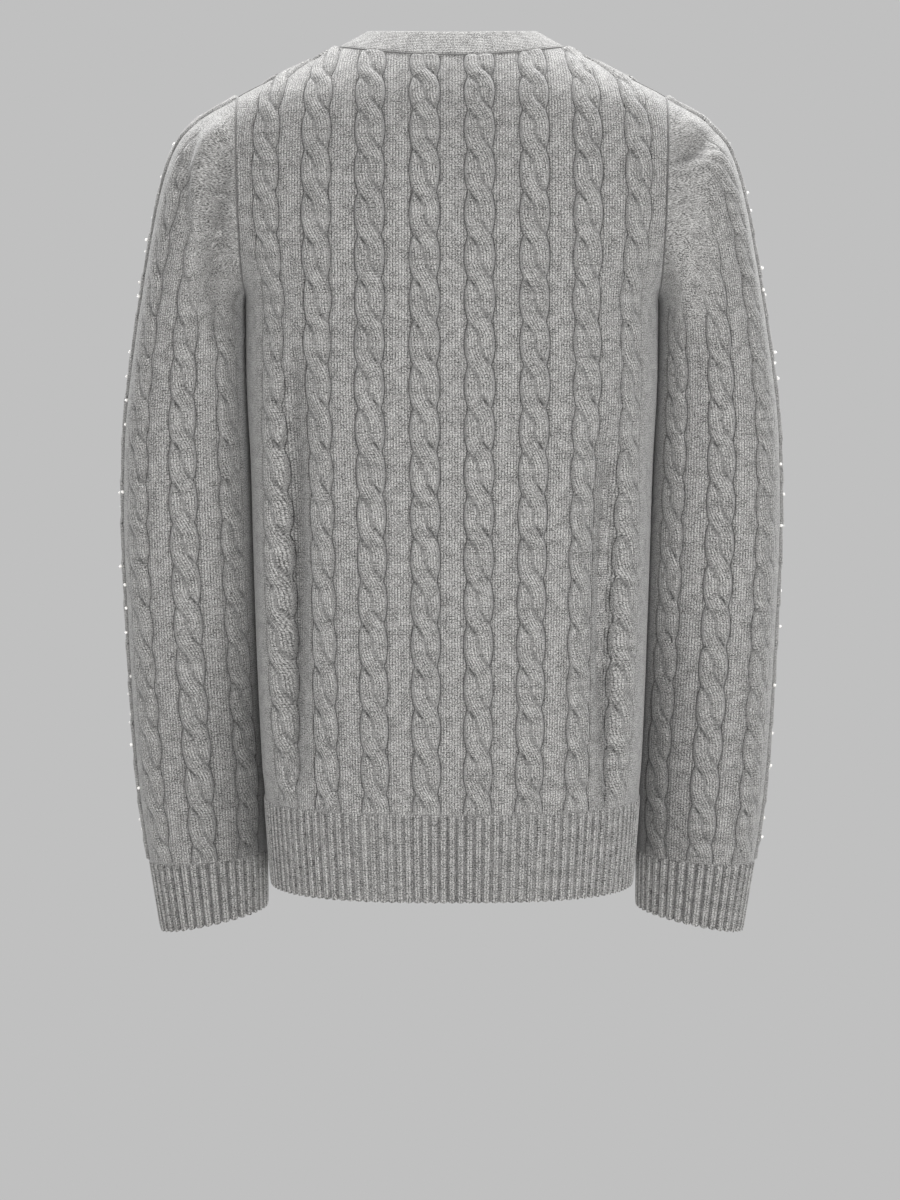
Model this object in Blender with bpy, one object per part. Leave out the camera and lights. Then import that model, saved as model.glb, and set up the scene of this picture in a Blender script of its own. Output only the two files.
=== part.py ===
"""Cable knit cardigan, in the hollow shape that it has when it is worn and buttoned.

X runs to the wearer's left, Y to the wearer's back and Z up. The origin is the middle of
the neck opening at the height where the shoulder seams meet it, where a wearer carries it.
Sizes in the constants and tables are in millimetres, and MM turns them into metres.
"""

import math
from functools import lru_cache

import bmesh
import bpy
import numpy as np
from mathutils import Vector
from mathutils.geometry import delaunay_2d_cdt

MM = 0.001

# The cloth
WALL = 2.8
SEAM_GAP = 0.3
MERGE = 0.001

# The cables: a repeat is one cable and the plain strip beside it
CABLE_PITCH = 44.7
CABLE_COLUMNS = (  # offset from the cable's middle, height in an open row, height in a crossing row
    (-13.0, -0.5, -0.5),
    (-6.5, 3.1, 0.9),
    (0.0, 0.4, 3.4),
    (6.5, 3.1, 0.9),
    (13.0, -0.5, -0.5),
)
CABLES_A_SIDE = 4
BACK_PLAIN_COLUMNS = (181.5, 193.5)  # beside the side seam, past the last cable
FRONT_PLAIN_COLUMNS = (193.5,)
RELIEF_FADE = 9.0  # the relief dies away over this width beside a seam

# Heights of the torso's seams and openings
NECK_SIDE_Z = 3.0
NECK_BACK_Z = -6.0
SHOULDER_Z = -38.0
ARMPIT_Z = -205.0
HEM_SEAM_Z = -627.0
HEM_Z = -700.0
ROW = 17.9
INNER_ROWS_APART = 6
INNER_ROWS_APART_ABOVE = 3
ROWS_ABOVE_SHOULDER = (-26.5, -16.5, -8.0, -1.5, NECK_SIDE_Z)
ARMHOLE_EXTRA_ROWS = (-199.0, -44.0)

TORSO_SECTIONS = (  # height, half width, back depth, front depth, roundness
    (12.0, 80.0, 50.0, 46.0, 2.1),
    (3.0, 95.0, 57.5, 51.0, 2.1),
    (-7.0, 115.0, 67.0, 57.0, 2.1),
    (-17.0, 136.0, 76.0, 63.0, 2.1),
    (-27.0, 157.0, 83.5, 68.5, 2.1),
    (-38.0, 178.0, 90.5, 74.0, 2.1),
    (-60.0, 203.0, 100.0, 84.0, 2.1),
    (-90.0, 218.0, 109.0, 94.0, 2.2),
    (-120.0, 213.0, 115.0, 102.0, 2.35),
    (-150.0, 200.0, 118.5, 108.0, 2.5),
    (-175.0, 187.0, 120.5, 112.0, 2.6),
    (-190.0, 179.0, 121.0, 113.5, 2.6),
    (-205.0, 173.0, 121.5, 115.0, 2.6),
    (-260.0, 173.0, 122.0, 117.0, 2.7),
    (-350.0, 169.0, 120.5, 114.0, 2.7),
    (-450.0, 166.0, 119.0, 113.0, 2.7),
    (-550.0, 162.0, 119.0, 115.0, 2.7),
    (-627.0, 159.0, 118.5, 117.0, 2.6),
    (-700.0, 154.0, 114.0, 112.0, 2.6),
)
ARMHOLE_TOP_X = 178.0
ARMHOLE_FOOT_X = 173.0
ARMPIT = Vector((ARMHOLE_FOOT_X, 0.0, ARMPIT_Z))
ARMPIT_CALM = 60.0  # and over this distance from the armpit

# The front opening
FRONT_EDGE_X = 14.0
V_FOOT_Z = -250.0
BAND_WIDTH = 28.0
BAND_WALL = 2.6
BAND_LIES_FROM_Z = -30.0
BAND_LIES_FULL_Z = -80.0
OVERLAP_LIFT = 3.4
OVERLAP_FROM_Z = -165.0
OVERLAP_FULL_Z = -198.0
OVERLAP_EASE = 22.0

SLEEVE_SECTIONS = (  # inner x, inner z, outer x, outer z, half depth, middle y
    (173.3, -205.0, 178.3, -38.0, 74.0, 3.0),
    (173.6, -206.0, 204.0, -52.0, 73.0, 3.0),
    (173.9, -207.0, 224.0, -69.0, 72.0, 2.0),
    (174.2, -208.0, 235.0, -88.0, 71.0, 1.0),
    (174.6, -209.5, 244.0, -117.0, 70.0, 1.0),
    (174.6, -212.0, 253.0, -160.0, 68.5, 0.0),
    (174.5, -220.0, 261.0, -205.0, 67.0, -1.0),
    (174.2, -252.0, 269.0, -255.0, 64.0, -3.0),
    (171.7, -323.0, 277.0, -323.0, 60.0, -7.0),
    (168.7, -400.0, 279.0, -400.0, 58.0, -11.0),
    (165.9, -480.0, 277.0, -480.0, 57.0, -18.0),
    (162.1, -560.0, 274.0, -560.0, 55.0, -28.0),
    (158.7, -625.0, 270.0, -630.0, 53.0, -37.0),
    (160.5, -683.0, 262.5, -692.0, 49.0, -45.0),
)
CUFF_SECTIONS = (
    (161.0, -683.3, 262.0, -692.3, 47.0, -45.0),
    (161.0, -732.0, 253.0, -753.0, 43.0, -49.0),
)
SLEEVE_ROUNDNESS = 2.2
CAP_SECTIONS = 3
SLEEVE_REPEATS = 8
SLEEVE_CABLES = (0, 1, 2, 3, 4, 5, 7)
SLEEVE_PITCH = 43.0
SLEEVE_STRAIGHT = 420.0
SEAM_SHARE = 6 / SLEEVE_REPEATS

# Ribs of the hem and the cuffs
RIB_PITCH = 7.8
RIB_CREST = 1.3
RIB_GROOVE = -0.9
RIB_INNER_EVERY = 8

FOLDS = (  # side (1 back, -1 front), line of x and z, half width, height
    (1, ((126, -262), (124, -430), (127, -592)), 10.0, -9.0),
    (1, ((150, -300), (148, -450), (150, -600)), 15.0, 4.5),
    (1, ((-124, -326), (-122, -470), (-126, -610)), 10.0, -7.5),
    (1, ((-148, -340), (-146, -480), (-149, -600)), 14.0, 4.0),
    (1, ((182, -84), (191, -104), (196, -140)), 14.0, -13.0),
    (1, ((200, -74), (211, -92), (218, -122), (221, -156)), 11.0, 6.0),
    (1, ((-214, -72), (-184, -93)), 9.0, -8.0),
    (1, ((187, -150), (197, -205)), 10.0, 4.0),
    (1, ((-182, -155), (-201, -240)), 10.0, 4.0),
    (-1, ((-130, -280), (-127, -440), (-131, -580)), 11.0, -7.0),
    (-1, ((134, -320), (131, -460), (133, -600)), 11.0, -6.0),
    (-1, ((158, -215), (110, -262)), 12.0, 3.5),
    (-1, ((-157, -218), (-112, -272)), 12.0, 3.0),
    (-1, ((205, -352), (262, -372)), 13.0, -4.5),
    (-1, ((-207, -340), (-264, -364)), 13.0, -5.0),
    (-1, ((208, -410), (258, -400)), 12.0, 3.0),
    (1, ((250, -560), (226, -640)), 14.0, -3.5),
    (1, ((-252, -575), (-226, -650)), 14.0, -3.0),
)
FOLD_FACING = (4.0, 34.0)  # distance from the side seam's plane over which a fold comes in
FOLD_ENDS = 0.45  # a fold's height at its ends, as a share of its height in the middle
FOLD_NEEDS_POINTS = 0.8

# Buttons
BUTTON_RADIUS = 9.0
BUTTON_THICK = 2.8
BUTTON_SIDES = 14
BUTTON_TOP_Z = -264.0
BUTTON_STEP = 83.0
BUTTON_COUNT = 6

MATERIALS = {  # colour, roughness
    "cable_knit": ((0.30, 0.30, 0.295, 1.0), 0.95),
    "rib_knit": ((0.285, 0.285, 0.28, 1.0), 0.95),
    "band_knit": ((0.31, 0.31, 0.305, 1.0), 0.95),
    "button_plastic": ((0.045, 0.045, 0.047, 1.0), 0.4),
}


def smooth_step(low, high, value):
    """0 below low and 1 above high, with a soft passage between them."""
    t = min(max((value - low) / (high - low), 0.0), 1.0)
    return t * t * (3.0 - 2.0 * t)


def table_curves(rows, keys):
    """One monotone cubic for each column of a table, as a function of the rows' keys."""
    order = np.argsort(keys)
    x = np.asarray(keys, float)[order]
    y = np.asarray(rows, float)[order]
    step = np.diff(x)[:, None]
    slope = np.diff(y, axis=0) / step
    tangent = np.vstack([slope[:1], (slope[1:] + slope[:-1]) / 2.0, slope[-1:]])
    turning = slope[1:] * slope[:-1] <= 0.0
    steepest = 2.0 * np.minimum(abs(slope[1:]), abs(slope[:-1]))
    middle = np.clip(tangent[1:-1], -steepest, steepest)
    tangent[1:-1] = np.where(turning, 0.0, middle)

    def values(at):
        i = int(np.clip(np.searchsorted(x, at) - 1, 0, len(x) - 2))
        h = x[i + 1] - x[i]
        t = min(max((at - x[i]) / h, 0.0), 1.0)
        rise = 3.0 * t * t - 2.0 * t**3
        return (
            y[i] * (1.0 - rise)
            + y[i + 1] * rise
            + h * tangent[i] * (t**3 - 2.0 * t * t + t)
            + h * tangent[i + 1] * (t**3 - t * t)
        )

    return values


torso_section = table_curves(
    [row[1:] for row in TORSO_SECTIONS], [row[0] for row in TORSO_SECTIONS]
)


# ---------------------------------------------------------------- the torso's surface


@lru_cache(maxsize=None)
def half_ring(z, back):
    """Points of a quarter of the ring at one height, from its middle to its side, and their arc lengths."""
    half_width, back_depth, front_depth, roundness = torso_section(z)
    depth = back_depth if back else front_depth
    angle = np.linspace(0.0, math.pi / 2.0, 161)
    sine, cosine = np.sin(angle), np.cos(angle)
    radius = ((sine / half_width) ** roundness + (cosine / depth) ** roundness) ** (-1.0 / roundness)
    x, y = radius * sine, radius * cosine
    arc = np.concatenate([[0.0], np.cumsum(np.hypot(np.diff(x), np.diff(y)))])
    return x, y, arc


def ease(z, back):
    """How much the knit is drawn in below the chest, as a share of its width there."""
    if z >= ARMPIT_Z:
        return 1.0
    return half_ring(z, back)[2][-1] / half_ring(ARMPIT_Z, back)[2][-1]


def torso_point(q, z, back):
    """The point q millimetres of cloth from the middle line, on the back or the front."""
    x, y, arc = half_ring(round(z, 4), back)
    along = abs(q) * ease(z, back)
    side = math.copysign(1.0, q)
    deep = float(np.interp(along, arc, y))
    return Vector((side * float(np.interp(along, arc, x)), deep if back else -deep, z))


def torso_normal(q, z, back):
    """The surface's outward normal, from points a little to each side."""
    d = 1.5
    side = half_ring(round(z, 4), back)[2][-1] / ease(z, back)
    low, high = max(q - d, -side), min(q + d, side)
    across = torso_point(high, z, back) - torso_point(low, z, back)
    up = torso_point(q, z + d, back) - torso_point(q, z - d, back)
    normal = across.cross(up).normalized()
    point = torso_point(q, z, back)
    outward = Vector((point.x, point.y, 0.0))
    return normal if normal.dot(outward) > 0.0 else -normal


def armhole_x(z):
    """The armhole lies in one plane that leans out towards the shoulder."""
    share = (z - ARMPIT_Z) / (SHOULDER_Z - ARMPIT_Z)
    return ARMHOLE_FOOT_X + (ARMHOLE_TOP_X - ARMHOLE_FOOT_X) * share


def cloth_width_at(x_wanted, z, back):
    """The cloth distance q at which the surface reaches a given x."""
    x, _, arc = half_ring(round(z, 4), back)
    return float(np.interp(x_wanted, x, arc)) / ease(z, back)


def side_limit(z, back):
    """Cloth distance of the panel's outer edge: side seam, armhole or shoulder seam."""
    if ARMPIT_Z < z < SHOULDER_Z:
        return cloth_width_at(armhole_x(z), z, back)
    return half_ring(round(z, 4), back)[2][-1] / ease(z, back)


def v_edge_x(z):
    """The front edge: straight up from the hem, then out along the V to the neck's side."""
    share = min(max((z - V_FOOT_Z) / (NECK_SIDE_Z - V_FOOT_Z), 0.0), 1.0)
    return FRONT_EDGE_X + (TORSO_SECTIONS[1][1] - FRONT_EDGE_X) * share


def back_neck_z(x):
    """Height of the back's neckline, a shallow scoop."""
    share = min(abs(x) / TORSO_SECTIONS[1][1], 1.0)
    return NECK_BACK_Z + (NECK_SIDE_Z - NECK_BACK_Z) * share**2


def neckline_z(q):
    """Height at which the column at q meets the back's neckline."""
    low, high = NECK_BACK_Z - 4.0, NECK_SIDE_Z
    for _ in range(24):
        middle = (low + high) / 2.0
        limit = side_limit(middle, True)
        x = torso_point(min(abs(q), limit), middle, True).x
        low, high = (middle, high) if middle < back_neck_z(x) else (low, middle)
    return high


def fold_height(point):
    """How far the cloth's folds move this point out or in."""
    total = 0.0
    for side, line, half_width, height in FOLDS:
        facing = smooth_step(*FOLD_FACING, side * point.y)
        if facing == 0.0:
            continue
        nearest, along = 1e9, 0.0
        for i, (start, end) in enumerate(zip(line, line[1:])):
            a, b = Vector(start), Vector(end)
            span = b - a
            here = Vector((point.x, point.z)) - a
            t = min(max(here.dot(span) / span.length_squared, 0.0), 1.0)
            distance = (here - span * t).length
            if distance < nearest:
                nearest, along = distance, (i + t) / (len(line) - 1)
        swell = FOLD_ENDS + (1.0 - FOLD_ENDS) * math.sin(math.pi * along)
        total += facing * height * swell * math.exp(-((nearest / half_width) ** 2))
    return total


# ---------------------------------------------------------------- walls of knit cloth


def new_object(name, bm, material):
    """Puts a finished bmesh in the cardigan's collection as one named piece."""
    bmesh.ops.scale(bm, vec=(MM, MM, MM), verts=bm.verts)
    mesh = bpy.data.meshes.new(name)
    bm.to_mesh(mesh)
    bm.free()
    mesh.materials.append(bpy.data.materials[material])
    obj = bpy.data.objects.new(name, mesh)
    bpy.data.collections["cable_knit_cardigan"].objects.link(obj)
    return obj


def close_and_finish(name, bm, material):
    bmesh.ops.remove_doubles(bm, verts=bm.verts, dist=MERGE)
    bmesh.ops.recalc_face_normals(bm, faces=bm.faces)
    return new_object(name, bm, material)


def split_quads(bm, column_of, row_of):
    """Splits each quad from its upper left to its lower right, the way a cable's top strand runs."""
    for face in list(bm.faces):
        upper_left = min(face.verts, key=lambda v: (column_of[v], -row_of[v]))
        lower_right = max(face.verts, key=lambda v: (column_of[v], -row_of[v]))
        bmesh.utils.face_split(face, upper_left, lower_right)


def knit_wall(name, spots, wrapped=False):
    """A wall of knit cloth from a grid of spots, with relief outside and a plain inside.

    spots[column][row] holds the place on the flat cloth, the outer point, the inner point and
    whether the inner side needs a point there. Columns run to the right as seen from outside.
    Spots past the piece's edge repeat the edge's own, and are merged.
    """
    columns, rows = len(spots), len(spots[0])
    bm = bmesh.new()
    bmesh.ops.create_grid(bm, x_segments=columns - 1, y_segments=rows - 1, size=1.0)
    column_of = {v: round((v.co.x + 1.0) / 2.0 * (columns - 1)) for v in bm.verts}
    row_of = {v: round((v.co.y + 1.0) / 2.0 * (rows - 1)) for v in bm.verts}
    split_quads(bm, column_of, row_of)
    for vert in list(bm.verts):
        vert.co = spots[column_of[vert]][row_of[vert]][1]

    bottom = [(c, 0) for c in range(columns)]
    right = [(columns - 1, r) for r in range(1, rows)]
    top = [(c, rows - 1) for c in range(columns - 2, -1, -1)]
    left = [(0, r) for r in range(rows - 2, 0, -1)]
    edge = []
    for c, r in bottom + right + top + left:
        if not edge or (spots[c][r][0] - spots[edge[-1][0]][edge[-1][1]][0]).length > MERGE:
            edge.append((c, r))
    if (spots[edge[0][0]][edge[0][1]][0] - spots[edge[-1][0]][edge[-1][1]][0]).length <= MERGE:
        edge.pop()

    rim = {round_key(spots[c][r][0]) for c, r in edge}
    inside = []
    for c in range(1, columns - 1):
        for r in range(1, rows - 1):
            flat, _, _, wanted = spots[c][r]
            if wanted and round_key(flat) not in rim:
                inside.append((c, r))
    chosen = edge + inside
    flats = [spots[c][r][0] for c, r in chosen]
    loop = list(range(len(edge)))
    _, _, faces, sources, _, _ = delaunay_2d_cdt(flats, [], [loop], 1, 1e-4)
    inner = [bm.verts.new(spots[c][r][2]) for c, r in chosen]
    source = [ids[0] for ids in sources]
    for face in faces:
        corners = [inner[source[i]] for i in face]
        if len(set(corners)) == 3:
            bm.faces.new(corners)
    for i, (c, r) in enumerate(edge):
        after = (i + 1) % len(edge)
        c2, r2 = edge[after]
        if wrapped and c == c2 and c in (0, columns - 1):
            continue
        outer = [bm.verts.new(spots[a][b][1]) for a, b in ((c, r), (c2, r2))]
        bm.faces.new((outer[0], outer[1], inner[after], inner[i]))
    return close_and_finish(name, bm, "cable_knit")


def round_key(flat):
    return round(flat.x, 3), round(flat.y, 3)


def cable_columns(middles, pitch=CABLE_PITCH):
    """Columns of all the cables: place, height in open rows, height in crossing rows."""
    scale = pitch / CABLE_PITCH
    found = []
    for middle in middles:
        found += [(middle + offset * scale, low, high) for offset, low, high in CABLE_COLUMNS]
    return sorted(found)


@lru_cache(maxsize=None)
def torso_rows():
    """Rows from the hem's seam to the neck: height, and 0 for an open row or 1 for a crossing one.

    The armhole's ends have a row more, with a share between those of its neighbours.
    """
    below = round((ARMPIT_Z - HEM_SEAM_Z) / ROW)
    beside = round((SHOULDER_Z - ARMPIT_Z) / ROW)
    lower = np.linspace(HEM_SEAM_Z, ARMPIT_Z, below + 1)
    upper = np.linspace(ARMPIT_Z, SHOULDER_Z, beside + 1)
    heights = [float(z) for z in list(lower[:-1]) + list(upper)] + list(ROWS_ABOVE_SHOULDER)
    crossings = [float(i % 2) for i in range(len(heights))]
    rows = list(zip(heights, crossings))
    for z in ARMHOLE_EXTRA_ROWS:
        rows.append((z, float(np.interp(z, heights, crossings))))
    return sorted(rows)


def overlap_lift(q, z):
    """How far the left front rises over the right one beside the buttons."""
    over = 1.0 - smooth_step(OVERLAP_FULL_Z, OVERLAP_FROM_Z, z)
    beside = 1.0 - smooth_step(FRONT_EDGE_X, FRONT_EDGE_X + OVERLAP_EASE, abs(q))
    return OVERLAP_LIFT * over * beside


def torso_spot(q, z, back, height, row, wanted, low=None, lifted=False):
    """One spot of a torso panel, with q and z held inside the panel's edges."""
    limit = side_limit(z, back)
    q = math.copysign(min(abs(q), limit), q)
    margin = limit - abs(q)
    if low is not None:
        q = math.copysign(max(abs(q), min(low, limit)), q)
        margin = min(margin, abs(q) - low)
    if back:
        top = neckline_z(q)
        margin = min(margin, max(top - z, 0.0))
        z = min(z, top)
    point = torso_point(q, z, back)
    normal = torso_normal(q, z, back)
    if row == 0:
        normal = Vector((normal.x, normal.y, 0.0)).normalized()
    calm = smooth_step(0.0, ARMPIT_CALM, (Vector((abs(point.x), point.y, z)) - ARMPIT).length)
    fade = smooth_step(0.0, RELIEF_FADE, margin) * calm
    fold = fold_height(point)
    lift = overlap_lift(q, z) if lifted else 0.0
    outer = point + normal * (height * fade + fold * fade + lift)
    inner = point + normal * (fold * fade + lift - WALL)
    if ARMPIT_Z < z < SHOULDER_Z and abs(q) >= limit - MERGE:
        edge_x = armhole_x(inner.z)
        inner.x = math.copysign(min(abs(inner.x), edge_x), inner.x)
    for corner in (outer, inner):
        corner.y = max(corner.y, SEAM_GAP / 2) if back else min(corner.y, -SEAM_GAP / 2)
    needed = wanted or (abs(fold) > FOLD_NEEDS_POINTS and row % 2 == 0)
    return Vector((q, z)), outer, inner, needed


def panel_spots(back, sign, columns, low=None, lifted=False):
    """The grid of spots of one torso panel. sign turns q so that columns run to the right."""
    grid = []
    for q, open_height, crossing_height in columns:
        line = []
        for row, (z, crossing) in enumerate(torso_rows()):
            height = open_height + crossing * (crossing_height - open_height)
            edge_q = None if low is None else cloth_width_at(v_edge_x(z), z, back)
            apart = INNER_ROWS_APART if z < ARMPIT_Z else INNER_ROWS_APART_ABOVE
            wanted = open_height < 0.0 and row % apart == 0
            line.append(torso_spot(sign * q, z, back, height, row, wanted, edge_q, lifted))
        grid.append(line)
    return grid


def plain_column(q):
    return (q, 0.0, 0.0)


def make_back():
    middles = [CABLE_PITCH * (k + 0.5) for k in range(-CABLES_A_SIDE, CABLES_A_SIDE)]
    side = side_limit(ARMPIT_Z, True)
    plain = [plain_column(q) for q in (*BACK_PLAIN_COLUMNS, side)]
    columns = [plain_column(-q) for q, _, _ in plain[::-1]] + cable_columns(middles) + plain
    return knit_wall("back", panel_spots(True, -1.0, columns))


def make_front(name, sign, lifted):
    """sign is 1 for the wearer's left."""
    middles = [FRONT_EDGE_X + CABLE_PITCH * (k + 0.5) for k in range(CABLES_A_SIDE)]
    side = side_limit(ARMPIT_Z, False)
    plain = [plain_column(q) for q in (*FRONT_PLAIN_COLUMNS, side)]
    columns = [plain_column(FRONT_EDGE_X)] + cable_columns(middles) + plain
    if sign < 0:
        columns = columns[::-1]
    return knit_wall(name, panel_spots(False, sign, columns, FRONT_EDGE_X, lifted))


# ---------------------------------------------------------------- the sleeves


def quarter_shape(roundness, samples=49):
    """A quarter of a unit superellipse from (0, 1) to (1, 0), evenly spaced along its length."""
    angle = np.linspace(0.0, math.pi / 2.0, 241)
    sine, cosine = np.sin(angle), np.cos(angle)
    radius = (sine**roundness + cosine**roundness) ** (-1.0 / roundness)
    return evenly(radius * sine, radius * cosine, samples)


def evenly(a, b, samples):
    arc = np.concatenate([[0.0], np.cumsum(np.hypot(np.diff(a), np.diff(b)))])
    at = np.linspace(0.0, arc[-1], samples)
    return np.interp(at, arc, a), np.interp(at, arc, b)


def round_section(samples=49):
    """Unit section: reach along the inner-outer line, and depth, by share of the way round."""
    reach, deep = quarter_shape(SLEEVE_ROUNDNESS, samples)
    r = np.concatenate([reach, reach[-2::-1], -reach[1:], -reach[-2::-1]])
    y = np.concatenate([deep, -deep[-2::-1], -deep[1:], deep[-2::-1]])
    return np.linspace(0.0, 1.0, len(r)), r, y


def armhole_section(samples=49):
    """The armhole's own outline, as reach from its middle and as real depth."""
    middle, half = (SHOULDER_Z + ARMPIT_Z) / 2.0, (SHOULDER_Z - ARMPIT_Z) / 2.0
    reach, depth = [], []
    quarters = (  # from height, to height, back
        (middle, SHOULDER_Z, True),
        (SHOULDER_Z, middle, False),
        (middle, ARMPIT_Z, False),
        (ARMPIT_Z, middle, True),
    )
    for start, end, back in quarters:
        low, high = min(start, end), max(start, end)
        heights = [low] + [z for z, _ in torso_rows() if low < z < high] + [high]
        heights = np.array(heights if end > start else heights[::-1])
        deep = []
        for z in heights:
            x, y, _ = half_ring(round(float(z), 4), back)
            side = x[-1] - 1e-6
            deep.append(float(np.interp(min(armhole_x(z), side), x, y)))
        deep = np.array(deep)
        deep[np.isclose(heights, SHOULDER_Z) | np.isclose(heights, ARMPIT_Z)] = 0.0
        r, y = evenly((heights - middle) / half, deep / half, samples)
        skip = 1 if reach else 0
        reach += list(r[skip:])
        depth += list((y if back else -y)[skip:] * half)
    return np.linspace(0.0, 1.0, len(reach)), np.array(reach), np.array(depth)


SECTION_SHARE, SECTION_REACH, SECTION_DEPTH = round_section()
ARMHOLE_SHARE, ARMHOLE_REACH, ARMHOLE_DEPTH = armhole_section()


def section_point(values, cap, share):
    """A point of one sleeve section. cap is 1 where the section is the armhole's outline."""
    inner_x, inner_z, outer_x, outer_z, half_depth, middle_y = values
    share %= 1.0
    reach = float(np.interp(share, SECTION_SHARE, SECTION_REACH))
    deep = middle_y + half_depth * float(np.interp(share, SECTION_SHARE, SECTION_DEPTH))
    if cap > 0.0:
        reach += cap * (float(np.interp(share, ARMHOLE_SHARE, ARMHOLE_REACH)) - reach)
        deep += cap * (float(np.interp(share, ARMHOLE_SHARE, ARMHOLE_DEPTH)) - deep)
    x = (inner_x + outer_x) / 2.0 + reach * (outer_x - inner_x) / 2.0
    z = (inner_z + outer_z) / 2.0 + reach * (outer_z - inner_z) / 2.0
    return Vector((x, deep, z))


def section_keys(sections):
    """Each section's distance from the first along the sleeve's outer and inner lines, averaged."""
    keys = [0.0]
    for a, b in zip(sections, sections[1:]):
        inner = math.hypot(b[0] - a[0], b[1] - a[1])
        outer = math.hypot(b[2] - a[2], b[3] - a[3])
        keys.append(keys[-1] + (inner + outer) / 2.0)
    return keys


SLEEVE_KEYS = section_keys(SLEEVE_SECTIONS)
sleeve_section = table_curves(SLEEVE_SECTIONS, SLEEVE_KEYS)


def sleeve_point(along, share):
    """A point of the left sleeve's surface. along runs from the armhole to the cuff's seam."""
    cap = 1.0 - smooth_step(0.0, SLEEVE_KEYS[CAP_SECTIONS], along)
    return section_point(sleeve_section(along), cap, share)


def sleeve_normal(along, share):
    d = 1.0
    low, high = max(along - d, 0.0), min(along + d, SLEEVE_KEYS[-1])
    down = sleeve_point(high, share) - sleeve_point(low, share)
    around = sleeve_point(along, share + 0.004) - sleeve_point(along, share - 0.004)
    normal = around.cross(down).normalized()
    middle = (sleeve_point(along, share) - sleeve_point(along, share + 0.5)).normalized()
    return normal if normal.dot(middle) > 0.0 else -normal


def sleeve_column(share, steps=300):
    """Distances up a column from the cuff's seam, and the along value of each."""
    along = np.linspace(SLEEVE_KEYS[-1], 0.0, steps)
    points = [sleeve_point(a, share) for a in along]
    run = [0.0]
    for a, b in zip(points, points[1:]):
        run.append(run[-1] + (b - a).length)
    return np.array(run), along


def into_plane(vector, plane_normal):
    return (vector - plane_normal * vector.dot(plane_normal)).normalized()


def sleeve_spot(share, up, column, row):
    """One spot of the left sleeve, with its way up held at the armhole's seam."""
    run, along_at = column
    up = min(up, run[-1])
    along = float(np.interp(up, run, along_at))
    point = sleeve_point(along, share)
    normal = sleeve_normal(along, share)
    if row == 0:
        inner_x, inner_z, outer_x, outer_z = SLEEVE_SECTIONS[-1][:4]
        across = Vector((outer_x - inner_x, 0.0, outer_z - inner_z)).normalized()
        normal = into_plane(normal, across.cross(Vector((0.0, 1.0, 0.0))))
    calm = smooth_step(0.0, ARMPIT_CALM, (point - ARMPIT).length)
    fade = smooth_step(0.0, RELIEF_FADE, run[-1] - up) * calm
    return point, normal, fade, up


def sleeve_spots(sign):
    """The grid of spots of one sleeve. sign is 1 for the wearer's left."""
    cloth = SLEEVE_PITCH * SLEEVE_REPEATS
    columns = cable_columns([k * SLEEVE_PITCH for k in SLEEVE_CABLES], SLEEVE_PITCH)
    columns = [((q / cloth - SEAM_SHARE) % 1.0, low, high) for q, low, high in columns]
    columns = [plain_column(0.0)] + sorted(columns) + [plain_column(1.0)]
    longest = max(sleeve_column(q + SEAM_SHARE)[0][-1] for q, _, _ in columns)
    rows = math.ceil(longest / ROW)
    if sign > 0:
        columns = columns[::-1]
    grid = []
    for q, open_height, crossing_height in columns:
        share = q + SEAM_SHARE
        column = sleeve_column(share)
        line = []
        for row in range(rows + 1):
            height = crossing_height if row % 2 else open_height
            apart = INNER_ROWS_APART if row * ROW < SLEEVE_STRAIGHT else INNER_ROWS_APART_ABOVE
            wanted = open_height < 0.0 and row % apart == 0
            point, normal, fade, up = sleeve_spot(share, row * ROW, column, row)
            turned = Vector((sign * point.x, point.y, point.z))
            fold = fold_height(turned) * fade
            outer = point + normal * (height * fade + fold)
            inner = point + normal * (fold - WALL)
            if up >= column[0][-1] - MERGE:
                inner.x = max(inner.x, armhole_x(inner.z) + SEAM_GAP)
            for corner in (outer, inner):
                corner.x *= sign
            flat = Vector((q * cloth * (-sign), up))
            needed = wanted or (abs(fold) > FOLD_NEEDS_POINTS and row % 2 == 0)
            line.append((flat, outer, inner, needed))
        grid.append(line)
    return grid


# ---------------------------------------------------------------- ribs


def ribbed_wall(name, outer_levels, inner_levels, closed):
    """A wall between levels of outer points, which hold the ribs, and plainer inner points."""
    bm = bmesh.new()
    outer = [[bm.verts.new(p) for p in level] for level in outer_levels]
    inner = [[bm.verts.new(p) for p in level] for level in inner_levels]
    for side in (outer, inner):
        count = len(side[0])
        for upper, lower in zip(side, side[1:]):
            for i in range(count if closed else count - 1):
                j = (i + 1) % count
                bm.faces.new((upper[i], upper[j], lower[j], lower[i]))
    for out, into in ((outer[0], inner[0]), (outer[-1], inner[-1])):
        if closed:
            half_out, half_in = len(out) // 2, len(into) // 2
            bm.faces.new(out[: half_out + 1] + into[half_in::-1])
            bm.faces.new(out[half_out:] + out[:1] + into[:1] + into[:half_in - 1:-1])
        else:
            bm.faces.new(out + into[::-1])
    if not closed:
        for end in (0, -1):
            for level in range(len(outer) - 1):
                bm.faces.new(
                    (outer[level][end], outer[level + 1][end], inner[level + 1][end], inner[level][end])
                )
    bmesh.ops.recalc_face_normals(bm, faces=bm.faces)
    return new_object(name, bm, "rib_knit")


def rib_heights(count):
    """Groove and crest in turn, for a wall of this many points."""
    return [RIB_CREST if i % 2 else RIB_GROOVE for i in range(count)]


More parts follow.
